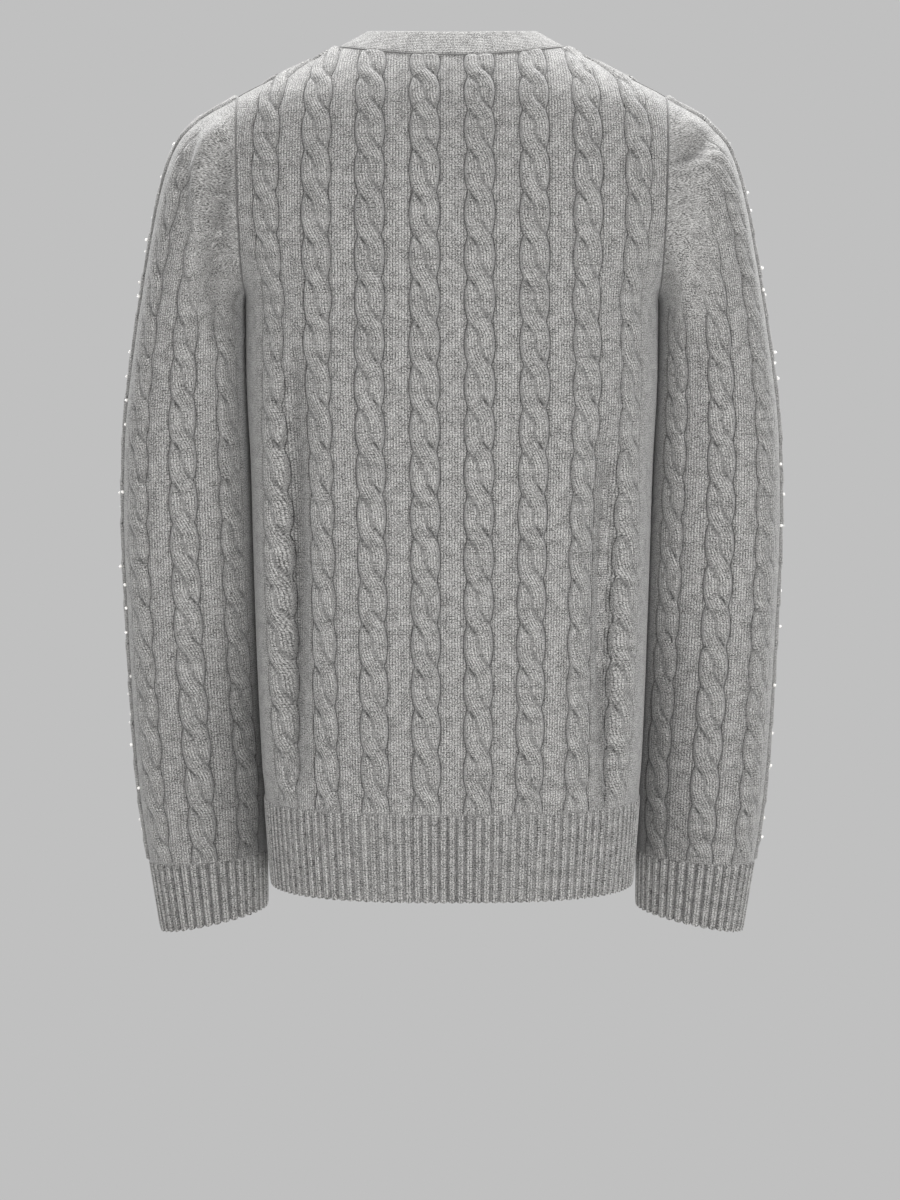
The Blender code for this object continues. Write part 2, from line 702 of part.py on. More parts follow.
def make_hem(name, back, start, end, lifted=False):
    """The hem's rib on the back, or on one front from its straight edge's x to its side."""
    count = 2 * round(abs(end - start) / RIB_PITCH) + 1
    inner_count = max(count // RIB_INNER_EVERY, 4)
    outer_levels, inner_levels = [], []
    for z in (HEM_SEAM_Z - SEAM_GAP, HEM_Z):
        first = start if back else math.copysign(cloth_width_at(abs(start), z, False), start)
        outer = []
        for q, height in zip(np.linspace(first, end, count), rib_heights(count)):
            outer.append(hem_point(q, z, back, height, lifted))
        inner = [hem_point(q, z, back, -WALL, lifted) for q in np.linspace(first, end, inner_count)]
        outer_levels.append(outer)
        inner_levels.append(inner)
    return ribbed_wall(name, outer_levels, inner_levels, False)


def hem_point(q, z, back, height, lifted):
    point = torso_point(q, z, back)
    normal = torso_normal(q, z, back)
    normal = Vector((normal.x, normal.y, 0.0)).normalized()
    lift = overlap_lift(q, z) if lifted else 0.0
    point = point + normal * (height + lift)
    point.y = max(point.y, SEAM_GAP / 2) if back else min(point.y, -SEAM_GAP / 2)
    return point


def cuff_ring(values, sign, heights):
    """One ring round a cuff's section, with each point raised by its own height."""
    inner_x, inner_z, outer_x, outer_z, _, middle_y = values
    across = Vector((outer_x - inner_x, 0.0, outer_z - inner_z)).normalized()
    axis = across.cross(Vector((0.0, 1.0, 0.0)))
    centre = Vector(((inner_x + outer_x) / 2.0, middle_y, (inner_z + outer_z) / 2.0))
    points = []
    for i, height in enumerate(heights):
        share = i / len(heights)
        point = section_point(values, 0.0, share)
        along = section_point(values, 0.0, share + 0.002) - section_point(values, 0.0, share - 0.002)
        normal = along.cross(axis).normalized()
        if normal.dot(point - centre) < 0.0:
            normal.negate()
        point = point + normal * height
        points.append(Vector((sign * point.x, point.y, point.z)))
    return points


def make_cuff(name, sign):
    """The ribbed end of one sleeve. sign is 1 for the wearer's left."""
    inner_x, _, outer_x, _, half_depth, _ = CUFF_SECTIONS[0]
    around = math.pi * (half_depth + (outer_x - inner_x) / 2.0)
    count = 2 * round(around / RIB_PITCH)
    inner_count = 2 * (count // RIB_INNER_EVERY)
    outer_levels = [cuff_ring(values, sign, rib_heights(count)) for values in CUFF_SECTIONS]
    inner_levels = [cuff_ring(values, sign, [-WALL] * inner_count) for values in CUFF_SECTIONS]
    return ribbed_wall(name, outer_levels, inner_levels, True)


# ---------------------------------------------------------------- band and buttons


def seam_station(q, z, back, lifted):
    point = torso_point(q, z, back)
    normal = torso_normal(q, z, back)
    lift = overlap_lift(q, z) if lifted else 0.0
    return point + normal * lift, normal


def front_stations(sign):
    """Seam points of the band beside one front, from the hem up to the neck's side."""
    straight = [HEM_Z, (HEM_Z + HEM_SEAM_Z) / 2.0]
    rows = [z for i, (z, _) in enumerate(torso_rows()) if z > V_FOOT_Z - ROW or i % 4 == 0]
    stations = []
    for z in straight + rows[:-1]:
        q = min(cloth_width_at(v_edge_x(z), z, False), side_limit(z, False))
        stations.append(seam_station(sign * q, z, False, sign > 0))
    return stations


def neck_stations():
    """Seam points of the band round the back of the neck, from the wearer's right to the left."""
    middles = [CABLE_PITCH * (k + 0.5) for k in range(-CABLES_A_SIDE, CABLES_A_SIDE)]
    side = side_limit(NECK_SIDE_Z, True)
    inside = [q for q, _, _ in cable_columns(middles) if abs(q) < side]
    stations = []
    for q in [-side] + inside + [side]:
        point, normal = seam_station(q, neckline_z(q), True, False)
        point.y = max(point.y, 0.0)
        stations.append((point, normal))
    return stations


def make_band():
    """The strip that runs up the right front, round the neck and down the left front."""
    stations = front_stations(-1.0) + neck_stations() + front_stations(1.0)[::-1]
    count = len(stations)
    bm = bmesh.new()
    rings = []
    for i, (point, normal) in enumerate(stations):
        before = stations[max(i - 1, 0)][0]
        after = stations[min(i + 1, count - 1)][0]
        inward = (after - before).cross(normal).normalized()
        free = point + inward * BAND_WIDTH
        lies = 1.0 - smooth_step(BAND_LIES_FULL_Z, BAND_LIES_FROM_Z, free.z)
        if lies > 0.0 and point.y < 0.0:
            z = free.z if point.z > V_FOOT_Z else point.z
            q = cloth_width_at(abs(free.x), z, False) * math.copysign(1.0, free.x)
            lift = overlap_lift(FRONT_EDGE_X, z) if point.x > 0.0 else 0.0
            resting = torso_point(q, z, False) + torso_normal(q, z, False) * lift
            free = free.lerp(resting, lies)
        corners = [point + inward * SEAM_GAP, free]
        corners += [corner - normal * BAND_WALL for corner in corners[::-1]]
        rings.append([bm.verts.new(corner) for corner in corners])
    for a, b in zip(rings, rings[1:]):
        for k in range(len(a)):
            n = (k + 1) % len(a)
            bm.faces.new((a[k], a[n], b[n], b[k]))
    for end in (rings[0], rings[-1]):
        bm.faces.new(end)
    bmesh.ops.recalc_face_normals(bm, faces=bm.faces)
    return new_object("band", bm, "band_knit")


def make_button(index):
    """A plain disc, lying on the left side of the band, over the right."""
    z = BUTTON_TOP_Z - index * BUTTON_STEP
    bm = bmesh.new()
    bmesh.ops.create_cone(
        bm, cap_ends=True, segments=BUTTON_SIDES, radius1=BUTTON_RADIUS, radius2=BUTTON_RADIUS,
        depth=BUTTON_THICK,
    )
    normal = torso_normal(0.0, z, False)
    out = OVERLAP_LIFT + SEAM_GAP + BUTTON_THICK / 2.0
    button = new_object(f"button_{index + 1}", bm, "button_plastic")
    button.location = (torso_point(0.0, z, False) + normal * out) * MM
    button.rotation_euler = normal.to_track_quat("Z", "X").to_euler()


# ---------------------------------------------------------------- the whole


def clear_scene():
    for obj in list(bpy.data.objects):
        bpy.data.objects.remove(obj, do_unlink=True)


def make_materials():
    for name, (colour, roughness) in MATERIALS.items():
        material = bpy.data.materials.new(name)
        material.use_nodes = True
        shader = material.node_tree.nodes["Principled BSDF"]
        shader.inputs["Base Color"].default_value = colour
        shader.inputs["Roughness"].default_value = roughness
        shader.inputs["Metallic"].default_value = 0.0


def main():
    clear_scene()
    make_materials()
    collection = bpy.data.collections.new("cable_knit_cardigan")
    bpy.context.scene.collection.children.link(collection)
    make_back()
    make_front("front_left", 1.0, True)
    make_front("front_right", -1.0, False)
    knit_wall("sleeve_left", sleeve_spots(1.0), wrapped=True)
    knit_wall("sleeve_right", sleeve_spots(-1.0), wrapped=True)
    side_back, side_front = side_limit(ARMPIT_Z, True), side_limit(ARMPIT_Z, False)
    make_hem("hem_back", True, side_back, -side_back)
    make_hem("hem_front_left", False, FRONT_EDGE_X, side_front, lifted=True)
    make_hem("hem_front_right", False, -FRONT_EDGE_X, -side_front)
    make_cuff("cuff_left", 1.0)
    make_cuff("cuff_right", -1.0)
    make_band()
    for index in range(BUTTON_COUNT):
        make_button(index)


main()
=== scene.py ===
"""Cable knit cardigan in grey marl wool, in the hollow shape that it has when it is worn.

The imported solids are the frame: the script knits each piece over its solid's form, on the same
sections, sharpens the same folds, and adds what a solid can't show: strands, stitches, ribs,
seams and trim.
X runs to the wearer's left, Y to the wearer's back and Z up. Tables and sizes in the functions
are in millimetres, settings that a user changes are in metres, and MM turns one into the other.
"""

import math
import random

import bmesh
import bpy
import numpy as np
from mathutils import Matrix, Vector
from mathutils.geometry import delaunay_2d_cdt


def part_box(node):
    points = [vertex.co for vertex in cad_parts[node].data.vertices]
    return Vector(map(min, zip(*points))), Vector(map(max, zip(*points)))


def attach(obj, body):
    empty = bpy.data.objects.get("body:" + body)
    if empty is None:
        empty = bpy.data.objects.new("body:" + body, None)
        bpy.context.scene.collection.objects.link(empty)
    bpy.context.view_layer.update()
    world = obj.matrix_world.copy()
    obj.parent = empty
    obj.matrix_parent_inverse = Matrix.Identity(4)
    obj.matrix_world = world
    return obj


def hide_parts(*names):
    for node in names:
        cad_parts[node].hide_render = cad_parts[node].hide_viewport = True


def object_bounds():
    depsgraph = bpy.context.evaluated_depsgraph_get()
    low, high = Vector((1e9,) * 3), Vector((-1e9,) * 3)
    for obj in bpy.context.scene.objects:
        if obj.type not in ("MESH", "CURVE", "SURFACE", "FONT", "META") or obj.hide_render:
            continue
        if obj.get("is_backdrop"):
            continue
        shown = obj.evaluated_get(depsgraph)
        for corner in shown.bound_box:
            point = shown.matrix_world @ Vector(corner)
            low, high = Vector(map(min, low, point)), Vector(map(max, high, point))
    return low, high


bl_info = {
    "name": "Cable knit cardigan",
    "version": (1, 0, 0),
    "blender": (4, 5, 0),
    "location": "View3D > Sidebar > Cardigan",
    "description": "Knits a buttoned cable cardigan over its packed frame, with a studio stage",
    "category": "Add Mesh",
}

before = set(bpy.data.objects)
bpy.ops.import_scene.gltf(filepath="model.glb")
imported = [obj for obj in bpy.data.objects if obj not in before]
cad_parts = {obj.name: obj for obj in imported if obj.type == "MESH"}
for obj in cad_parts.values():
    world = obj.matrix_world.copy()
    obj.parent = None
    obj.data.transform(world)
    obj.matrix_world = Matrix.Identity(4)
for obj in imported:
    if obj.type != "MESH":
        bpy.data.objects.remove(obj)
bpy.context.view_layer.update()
MM = 0.001
BODY = "root"
UV_NAME = "knit"
SIDES = (("left", 1.0), ("right", -1.0))
WALL_SHARP = math.radians(75.0)
BUTTON_SHARP = math.radians(40.0)

# Heights of the torso's seams, and the openings
SEAM_GAP = 0.3
MERGE = 0.001
NECK_SIDE_Z = 3.0
NECK_BACK_Z = -6.0
SHOULDER_Z = -38.0
ARMPIT_Z = -205.0
HEM_SEAM_Z = -627.0
HEM_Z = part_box("hem_back")[0].z / MM
ARMHOLE_TOP_X = 178.0
ARMHOLE_FOOT_X = 173.0
ARMPIT = np.array((ARMHOLE_FOOT_X, 0.0, ARMPIT_Z))

TORSO_SECTIONS = (  # height, half width, back depth, front depth, roundness
    (12.0, 80.0, 50.0, 46.0, 2.1),
    (3.0, 95.0, 57.5, 51.0, 2.1),
    (-7.0, 115.0, 67.0, 57.0, 2.1),
    (-17.0, 136.0, 76.0, 63.0, 2.1),
    (-27.0, 157.0, 83.5, 68.5, 2.1),
    (-38.0, 178.0, 90.5, 74.0, 2.1),
    (-60.0, 203.0, 100.0, 84.0, 2.1),
    (-90.0, 218.0, 109.0, 94.0, 2.2),
    (-120.0, 213.0, 115.0, 102.0, 2.35),
    (-150.0, 200.0, 118.5, 108.0, 2.5),
    (-175.0, 187.0, 120.5, 112.0, 2.6),
    (-190.0, 179.0, 121.0, 113.5, 2.6),
    (-205.0, 173.0, 121.5, 115.0, 2.6),
    (-260.0, 173.0, 122.0, 117.0, 2.7),
    (-350.0, 169.0, 120.5, 114.0, 2.7),
    (-450.0, 166.0, 119.0, 113.0, 2.7),
    (-550.0, 162.0, 119.0, 115.0, 2.7),
    (-627.0, 159.0, 118.5, 117.0, 2.6),
    (-700.0, 154.0, 114.0, 112.0, 2.6),
)

SLEEVE_SECTIONS = (  # inner x, inner z, outer x, outer z, half depth, middle y
    (173.3, -205.0, 178.3, -38.0, 74.0, 3.0),
    (173.6, -206.0, 204.0, -52.0, 73.0, 3.0),
    (173.9, -207.0, 224.0, -69.0, 72.0, 2.0),
    (174.2, -208.0, 235.0, -88.0, 71.0, 1.0),
    (174.6, -209.5, 244.0, -117.0, 70.0, 1.0),
    (174.6, -212.0, 253.0, -160.0, 68.5, 0.0),
    (174.5, -220.0, 261.0, -205.0, 67.0, -1.0),
    (174.2, -252.0, 269.0, -255.0, 64.0, -3.0),
    (171.7, -323.0, 277.0, -323.0, 60.0, -7.0),
    (168.7, -400.0, 279.0, -400.0, 58.0, -11.0),
    (165.9, -480.0, 277.0, -480.0, 57.0, -18.0),
    (162.1, -560.0, 274.0, -560.0, 55.0, -28.0),
    (158.7, -625.0, 270.0, -630.0, 53.0, -37.0),
    (160.5, -683.0, 262.5, -692.0, 49.0, -45.0),
)
CUFF_SECTIONS = (
    (161.0, -683.3, 262.0, -692.3, 47.0, -45.0),
    (161.0, -732.0, 253.0, -753.0, 43.0, -49.0),
)
SLEEVE_ROUNDNESS = 2.2
SLEEVE_RINGS = 361
SLEEVE_QUARTER = 48
CAP_SECTIONS = 3
SEAM_SHARE = 0.75  # the underarm seam, a share of the way round from the back's middle
# Where the pattern is stretched away on the cap: distance from its middle plane, x, height
CAP_FACES = (12.0, 42.0)
CAP_BESIDE = (200.0, 230.0)
CAP_ABOVE = (-245.0, -195.0)

# The front opening
FRONT_EDGE_X = 14.0
V_FOOT_Z = -250.0
BAND_WIDTH = 28.0
BAND_WALL = 2.6
BAND_CROWN = 0.25
BAND_ROLL = 0.9
BAND_ROLL_WIDTH = 1.6
BAND_COLUMNS = (0.0, 0.5, 1.6, 3.6, 6.0, 9.0, 12.0, 16.0, 19.0, 22.0, 24.4, 26.4, 27.5, 28.0)
BAND_LIES_FROM_Z = -30.0
BAND_LIES_FULL_Z = -80.0
OVERLAP_LIFT = 3.4
OVERLAP_FROM_Z = -165.0
OVERLAP_FULL_Z = -198.0
OVERLAP_EASE = 22.0

# The cables: a repeat is one cable and the plain strip beside it
TORSO_PITCH = 44.7
CABLES_A_SIDE = 4
SLEEVE_PITCH = 43.0
SLEEVE_REPEATS = 8
SLEEVE_CLOTH = SLEEVE_PITCH * SLEEVE_REPEATS
CABLE_PINCHED = 8.8  # half a cable's width at a crossing, and between two crossings
CABLE_OPEN = 12.1
STRAND_GROOVE_BEND = 1.2  # how upright the groove between the strands is between two crossings
STRAND_GROOVE_WIDTH = 0.7
NEAR_CROSSING = (0.15, 0.65)  # from here a strand dives under the other one, and ends in a point
INNER_HALF = 0.62  # height of a strand's half beside the other one, where they lie side by side
EDGE_GROOVE = 1.0
EDGE_GROOVE_AT = 0.6
EDGE_GROOVE_WIDTH = 0.5
CABLE_FRACTIONS = (0.14, 0.28, 0.43, 0.58, 0.72, 0.86, 1.0)
PLAIN_STEP = 3.2
NO_CABLE = 1000.0  # the offset of a place that is in no cable's strip
SEAM_FADE = 1.8
RELIEF_CALM = 40.0
FOLD_FADE = 9.0
CAP_FOLD_FADE = 15.0
ARMPIT_CALM = 60.0

RIB_PITCH = 7.8
RIB_COLUMNS = 8
RIB_CREST = 1.4
RIB_GROOVE = -1.7
RIB_ROUNDNESS = 0.55
# Painted shade at the bottom of the hollow between two ribs.
RIB_SHADE = 0.85
RIM_ROWS = (0.0, 0.8, 2.0, 4.0)
HEM_ROWS_TOP = 73.0
HEM_ROWS = 20
CUFF_ROWS = 16
CAST_OFF_HEIGHT = 4.0
CAST_OFF_DRAW = 0.7
CAST_OFF_WAVE = 0.45

FOLDS = (  # side (1 back, -1 front), line of x and z, half width, height, steeper side in x
    (1, ((131, -262), (132, -430), (132, -592)), 11.0, -12.0, 1),
    (1, ((150, -300), (148, -450), (150, -600)), 15.0, 5.5, 0),
    (1, ((-129, -326), (-129, -470), (-129, -610)), 11.0, -11.0, -1),
    (1, ((-148, -340), (-146, -480), (-149, -600)), 14.0, 5.0, 0),
    (1, ((187, -94), (192, -122), (194, -165), (195, -225)), 14.0, -10.0, 0),
    (1, ((180, -60), (200, -76), (208, -98), (211, -185)), 8.0, 7.0, 0),
    (1, ((211, -74), (218, -98), (220, -160)), 5.0, -4.5, 0),
    (1, ((-214, -72), (-184, -93)), 9.0, -9.0, 0),
    (1, ((-182, -155), (-201, -240)), 10.0, 4.0, 0),
    (-1, ((-130, -280), (-127, -440), (-131, -580)), 11.0, -8.0, -1),
    (-1, ((134, -320), (131, -460), (133, -600)), 11.0, -7.0, 1),
    (-1, ((158, -215), (110, -262)), 12.0, 3.5, 0),
    (-1, ((-157, -218), (-112, -272)), 12.0, 3.0, 0),
    (-1, ((205, -352), (262, -372)), 13.0, -4.5, 0),
    (-1, ((-207, -340), (-264, -364)), 13.0, -5.0, 0),
    (-1, ((208, -410), (258, -400)), 12.0, 3.0, 0),
    (1, ((250, -560), (226, -640)), 14.0, -3.5, 0),
    (1, ((-252, -575), (-226, -650)), 14.0, -3.0, 0),
)
FOLD_LEAN = 0.35
FOLD_FACING = (4.0, 34.0)
FOLD_ENDS = 0.45
CREASE_SHARE = 0.6  # width of the shade painted in a crease, in widths of the fold
# Shade painted into a crease's colour, for each millimetre of the fold's depth.
FOLD_SHADE = 0.045
# Painted shade on the lower sleeve beside the body: strength, reach round from the underarm seam,
# and the heights above the cuff where it fades out.
CONTACT_SHADE = 0.75
CONTACT_REACH = 62.0
CONTACT_FADE = (90.0, 260.0)

BUTTON_THICK = 2.8
BUTTON_TOP_Z = -264.0
BUTTON_STEP = 83.0
BUTTON_COUNT = 6
BUTTON_PROFILE = (  # share of the radius, share of half the thickness
    (0.0, -0.85), (0.7, -1.0), (0.93, -0.75), (1.0, -0.1), (0.985, 0.55), (0.92, 0.93),
    (0.84, 1.0), (0.76, 0.86), (0.69, 0.5), (0.6, 0.38), (0.0, 0.34),
)
HOLE_REACH = 0.2
HOLE_RADIUS = 0.09

BEADS_ROUND = (0.215, 0.6)  # the beaded part of a sleeve, in shares of the way round
BEADS_UP = (10.0, 640.0)
SHOULDER_BEADS = 130.0
SHOULDER_BEADS_X = (70.0, 210.0)
BEAD_MARGIN = 5.0
BEAD_SCATTER = 0.65
SLEEVE_SEED = 11
SHOULDER_SEED = 23

YARN_STEP = 1.3
YARN_WAVE = 2.6
YARN_SWAY = 0.45
YARN_RISE = 0.15

STUDIO_MIDDLE = (0.0, 0.0, -0.36)
LIGHTS = (  # name, place, aim and size in metres, watts
    ("key_left", (2.2, 2.3, 0.1), STUDIO_MIDDLE, (1.1, 1.9), 10.0),
    ("fill_left", (1.7, -2.2, 0.1), STUDIO_MIDDLE, (1.0, 1.9), 34.0),
    ("key_right", (-2.2, 2.3, 0.1), STUDIO_MIDDLE, (1.1, 1.9), 20.0),
    ("fill_right", (-1.7, -2.2, 0.1), STUDIO_MIDDLE, (1.0, 1.9), 34.0),
    ("camera_key", (-0.3, 3.2, -0.3), STUDIO_MIDDLE, (1.2, 1.0), 69.0),
    ("top", (0.0, -0.7, 1.4), (0.0, 0.0, 0.0), (1.4, 0.5), 64.0),
)
FLOOR_RADIUS = 1.5
CAMERA_ASIDE = 0.0017
SENSOR_WIDTH = 36.0


def linear_of(hex_colour):
    """A linear RGBA colour from an sRGB hex one."""
    channels = [int(hex_colour[i : i + 2], 16) / 255.0 for i in (1, 3, 5)]
    return [c / 12.92 if c <= 0.04045 else ((c + 0.055) / 1.055) ** 2.4 for c in channels] + [1.0]


# ---------------- settings


def length(name, default, description):
    """A setting in metres."""
    return bpy.props.FloatProperty(
        name=name, description=description, default=default, unit="LENGTH"
    )


def colour(name, hex_colour, description):
    """A setting that holds a colour."""
    return bpy.props.FloatVectorProperty(
        name=name, description=description, default=linear_of(hex_colour), size=4, subtype="COLOR"
    )


class KnitSettings(bpy.types.PropertyGroup):
    wall: length("Wall", 0.0028, "Thickness of the plain knit")
    cable_height: length("Cable height", 0.0036, "How far the top strand stands out at a crossing")
    cable_period: length("Cable period", 0.0352, "Height from one crossing to the next")
    row_step: length("Row step", 0.00175, "Height of one row of faces")
    lattice_step: bpy.props.IntProperty(
        name="Inner lattice", description="Rows and columns of the outside to one of the inside",
        default=6, min=2,
    )


class YarnSettings(bpy.types.PropertyGroup):
    dark: colour("Dark fibres", "#424140", "Colour of the marl's dark fibres")
    light: colour("Light fibres", "#bdbcba", "Colour of the marl's light fibres")
    wale: length("Wale", 0.0024, "Width of one column of stitches")
    course: length("Course", 0.0019, "Height of one row of stitches")


class TrimSettings(bpy.types.PropertyGroup):
    button_radius: length("Button radius", 0.009, "Radius of a button")
    button_colour: colour("Button", "#454648", "Colour of the buttons")
    bead_radius: length("Bead radius", 0.0015, "Radius of a sewn-on bead")
    bead_colour: colour("Bead", "#f4f2ee", "Colour of the beads")
    bead_spacing: length("Bead spacing", 0.024, "Distance between neighbouring beads")
    seam_radius: length("Seam yarn", 0.0007, "Radius of the yarn that links the pieces")


class StageSettings(bpy.types.PropertyGroup):
    camera_distance: length("Camera distance", 3.0, "From the camera to the middle plane")
    camera_height: length("Camera height", -0.15, "Height of the camera above the neck opening")
    aim_height: length("Aim height", -0.4615, "Height that the camera looks at")
    view_height: length("View height", 1.02, "Height of the view at the middle plane")
    floor_height: length("Floor height", -1.47, "Height of the floor above the neck opening")
    backdrop: colour("Backdrop", "#c0c0c0", "Colour round the cardigan")
    floor_colour: colour("Floor", "#a9a9a7", "Colour of the floor")


# ---------------- forms of torso and sleeves


def smooth_step(low, high, value):
    """0 below low and 1 above high, with a soft passage between them."""
    t = np.clip((value - low) / (high - low), 0.0, 1.0)
    return t * t * (3.0 - 2.0 * t)


def table_curves(rows, keys):
    """One monotone cubic for each column of a table, as a function of an array of keys."""
    order = np.argsort(keys)
    x = np.asarray(keys, float)[order]
    y = np.asarray(rows, float)[order]
    slope = np.diff(y, axis=0) / np.diff(x)[:, None]
    tangent = np.vstack([slope[:1], (slope[1:] + slope[:-1]) / 2.0, slope[-1:]])
    steepest = 2.0 * np.minimum(abs(slope[1:]), abs(slope[:-1]))
    middle = np.clip(tangent[1:-1], -steepest, steepest)
    tangent[1:-1] = np.where(slope[1:] * slope[:-1] <= 0.0, 0.0, middle)

    def values(at):
        i = np.clip(np.searchsorted(x, at) - 1, 0, len(x) - 2)
        h = (x[i + 1] - x[i])[:, None]
        t = np.clip((at - x[i])[:, None] / h, 0.0, 1.0)
        rise = 3.0 * t * t - 2.0 * t**3
        curve = y[i] * (1.0 - rise) + y[i + 1] * rise
        return curve + h * (tangent[i] * (t**3 - 2.0 * t * t + t) + tangent[i + 1] * (t**3 - t * t))

    return values


def sampled(grid, i, j):
    """The value of a grid at fractional indices, on straight lines between its points."""
    i, j = np.broadcast_arrays(i, j)
    i = np.clip(i, 0.0, grid.shape[0] - 1.0)
    j = np.clip(j, 0.0, grid.shape[1] - 1.0)
    i0 = np.minimum(i.astype(int), grid.shape[0] - 2)
    j0 = np.minimum(j.astype(int), grid.shape[1] - 2)
    a, b = i - i0, j - j0
    if grid.ndim == 3:
        a, b = a[..., None], b[..., None]
    low = grid[i0, j0] * (1.0 - b) + grid[i0, j0 + 1] * b
    high = grid[i0 + 1, j0] * (1.0 - b) + grid[i0 + 1, j0 + 1] * b
    return low * (1.0 - a) + high * a


def unit(vectors):
    """Vectors of length 1 in the same directions."""
    return vectors / np.linalg.norm(vectors, axis=-1, keepdims=True)


def run_along(points):
    """Distance from the start of a line of points to each of them."""
    steps = np.linalg.norm(np.diff(points, axis=0), axis=-1)
    return np.concatenate([[0.0], np.cumsum(steps)])


LEVELS = np.arange(HEM_Z - 4.0, 13.0)
QUARTER = 160
torso_section = table_curves(
    [row[1:] for row in TORSO_SECTIONS], [row[0] for row in TORSO_SECTIONS]
)


def torso_half(back):
    """Points and outward normals from the middle to the wearer's left side, by level."""
    half_width, back_depth, front_depth, roundness = torso_section(LEVELS).T[:, :, None]
    depth = back_depth if back else front_depth
    angle = np.linspace(0.0, math.pi / 2.0, QUARTER + 1)
    sine, cosine = np.sin(angle), np.cos(angle)
    radius = (sine / half_width) ** roundness + (cosine / depth) ** roundness
    radius = radius ** (-1.0 / roundness)
    x, y = radius * sine, radius * cosine
    steps = np.hypot(np.diff(x), np.diff(y))
    arc = np.concatenate([np.zeros((len(LEVELS), 1)), np.cumsum(steps, axis=1)], axis=1)
    for i, run in enumerate(arc):
        even = np.linspace(0.0, run[-1], QUARTER + 1)
        x[i], y[i] = np.interp(even, run, x[i]), np.interp(even, run, y[i])
    z = np.broadcast_to(LEVELS[:, None], x.shape)
    point = np.stack([x, y if back else -y, z], axis=-1)
    normal = np.cross(np.gradient(point, axis=1), np.gradient(point, axis=0))
    normal *= np.sign((normal * point)[..., :2].sum(axis=-1))[..., None]
    normal[:, 0, 0] = 0.0
    normal[:, -1, 1] = 0.0
    height = run_along(point[:, QUARTER // 3])
    height -= np.interp(HEM_SEAM_Z, LEVELS, height)
    return {"point": point, "normal": unit(normal), "length": arc[:, -1], "height": height}


TORSO = {back: torso_half(back) for back in (True, False)}


def full_width(z, back):
    """Cloth from the middle line to the side. Below the chest the knit is drawn in, not cut."""
    return np.interp(np.maximum(z, ARMPIT_Z), LEVELS, TORSO[back]["length"])


def torso_at(q, z, back):
    """Point and normal q mm of cloth from the middle, to the wearer's left, at height z."""
    half = TORSO[back]
    share = np.minimum(abs(q) / full_width(z, back), 1.0) * QUARTER
    level = z - LEVELS[0]
    side = np.where(np.asarray(q) < 0.0, -1.0, 1.0)[..., None] * np.array((1.0, 0.0, 0.0))
    side = side + np.array((0.0, 1.0, 1.0))
    point, normal = (sampled(half[key], level, share) for key in ("point", "normal"))
    return point * side, unit(normal) * side


def armhole_x(z):
    """The armhole lies in one plane that leans out towards the shoulder."""
    share = (z - ARMPIT_Z) / (SHOULDER_Z - ARMPIT_Z)
    return ARMHOLE_FOOT_X + (ARMHOLE_TOP_X - ARMHOLE_FOOT_X) * share


def cloth_width_at(x_wanted, z, back):
    """The cloth distance from the middle at which the surface reaches each x, level by level."""
    x_wanted, z = np.broadcast_arrays(np.asarray(x_wanted, float), np.asarray(z, float))
    widths = TORSO[back]["point"][..., 0]
    rings = sampled(widths, (z - LEVELS[0])[:, None], np.arange(QUARTER + 1.0))
    shares = [np.interp(x, ring, np.arange(QUARTER + 1.0)) for x, ring in zip(x_wanted, rings)]
    return np.array(shares) / QUARTER * full_width(z, back)


def side_limit(z, back):
    """Cloth distance of the panel's outer edge: side seam, armhole or shoulder seam."""
    beside_arm = (z > ARMPIT_Z) & (z < SHOULDER_Z)
    return np.where(beside_arm, cloth_width_at(armhole_x(z), z, back), full_width(z, back))


def v_edge_x(z):
    """The front edge: straight up from the hem, then out along the V to the neck's side."""
    share = np.clip((z - V_FOOT_Z) / (NECK_SIDE_Z - V_FOOT_Z), 0.0, 1.0)
    return FRONT_EDGE_X + (TORSO_SECTIONS[1][1] - FRONT_EDGE_X) * share


def neckline_z(q):
    """Height at which the column at q meets the back's neckline, a shallow scoop."""
    low = np.full(np.shape(q), NECK_BACK_Z - 4.0)
    high = np.full(np.shape(q), NECK_SIDE_Z)
    for _ in range(24):
        middle = (low + high) / 2.0
        x = torso_at(np.minimum(abs(q), full_width(middle, True)), middle, True)[0][..., 0]
        share = np.minimum(x / TORSO_SECTIONS[1][1], 1.0)
        below = middle < NECK_BACK_Z + (NECK_SIDE_Z - NECK_BACK_Z) * share**2
        low, high = np.where(below, middle, low), np.where(below, high, middle)
    return high


def fold_height(point):
    """How far the cloth's folds move each point out or in, and the shade painted in their creases.
    """
    here = point[..., [0, 2]]
    total, painted_crevice_shade = np.zeros((2,) + here.shape[:-1])
    for side, line, half_width, height, steep in FOLDS:
        facing = smooth_step(*FOLD_FACING, side * point[..., 1])
        nearest, along, beside = np.full(total.shape, 1e9), 0.0 * total, 0.0 * total
        for i, (start, end) in enumerate(zip(line, line[1:])):
            start = np.array(start, float)
            span = np.array(end, float) - start
            t = np.clip((here - start) @ span / (span @ span), 0.0, 1.0)
            away = here - start - t[..., None] * span
            distance = np.linalg.norm(away, axis=-1)
            along = np.where(distance < nearest, (i + t) / (len(line) - 1), along)
            beside = np.where(distance < nearest, away[..., 0], beside)
            nearest = np.minimum(nearest, distance)
        swell = FOLD_ENDS + (1.0 - FOLD_ENDS) * np.sin(math.pi * along)
        reach = half_width * (1.0 - FOLD_LEAN * steep * np.sign(beside))
        total += facing * height * swell * np.exp(-((nearest / reach) ** 2))
        shade = np.exp(-((nearest / (CREASE_SHARE * reach)) ** 2))
        painted_crevice_shade += facing * max(-height, 0.0) * swell * shade
    return np.array((total, painted_crevice_shade * FOLD_SHADE))


def evenly(a, b, samples):
    """A line in two coordinates, by evenly spaced points."""
    arc = np.concatenate([[0.0], np.cumsum(np.hypot(np.diff(a), np.diff(b)))])
    at = np.linspace(0.0, arc[-1], samples)
    return np.interp(at, arc, a), np.interp(at, arc, b)


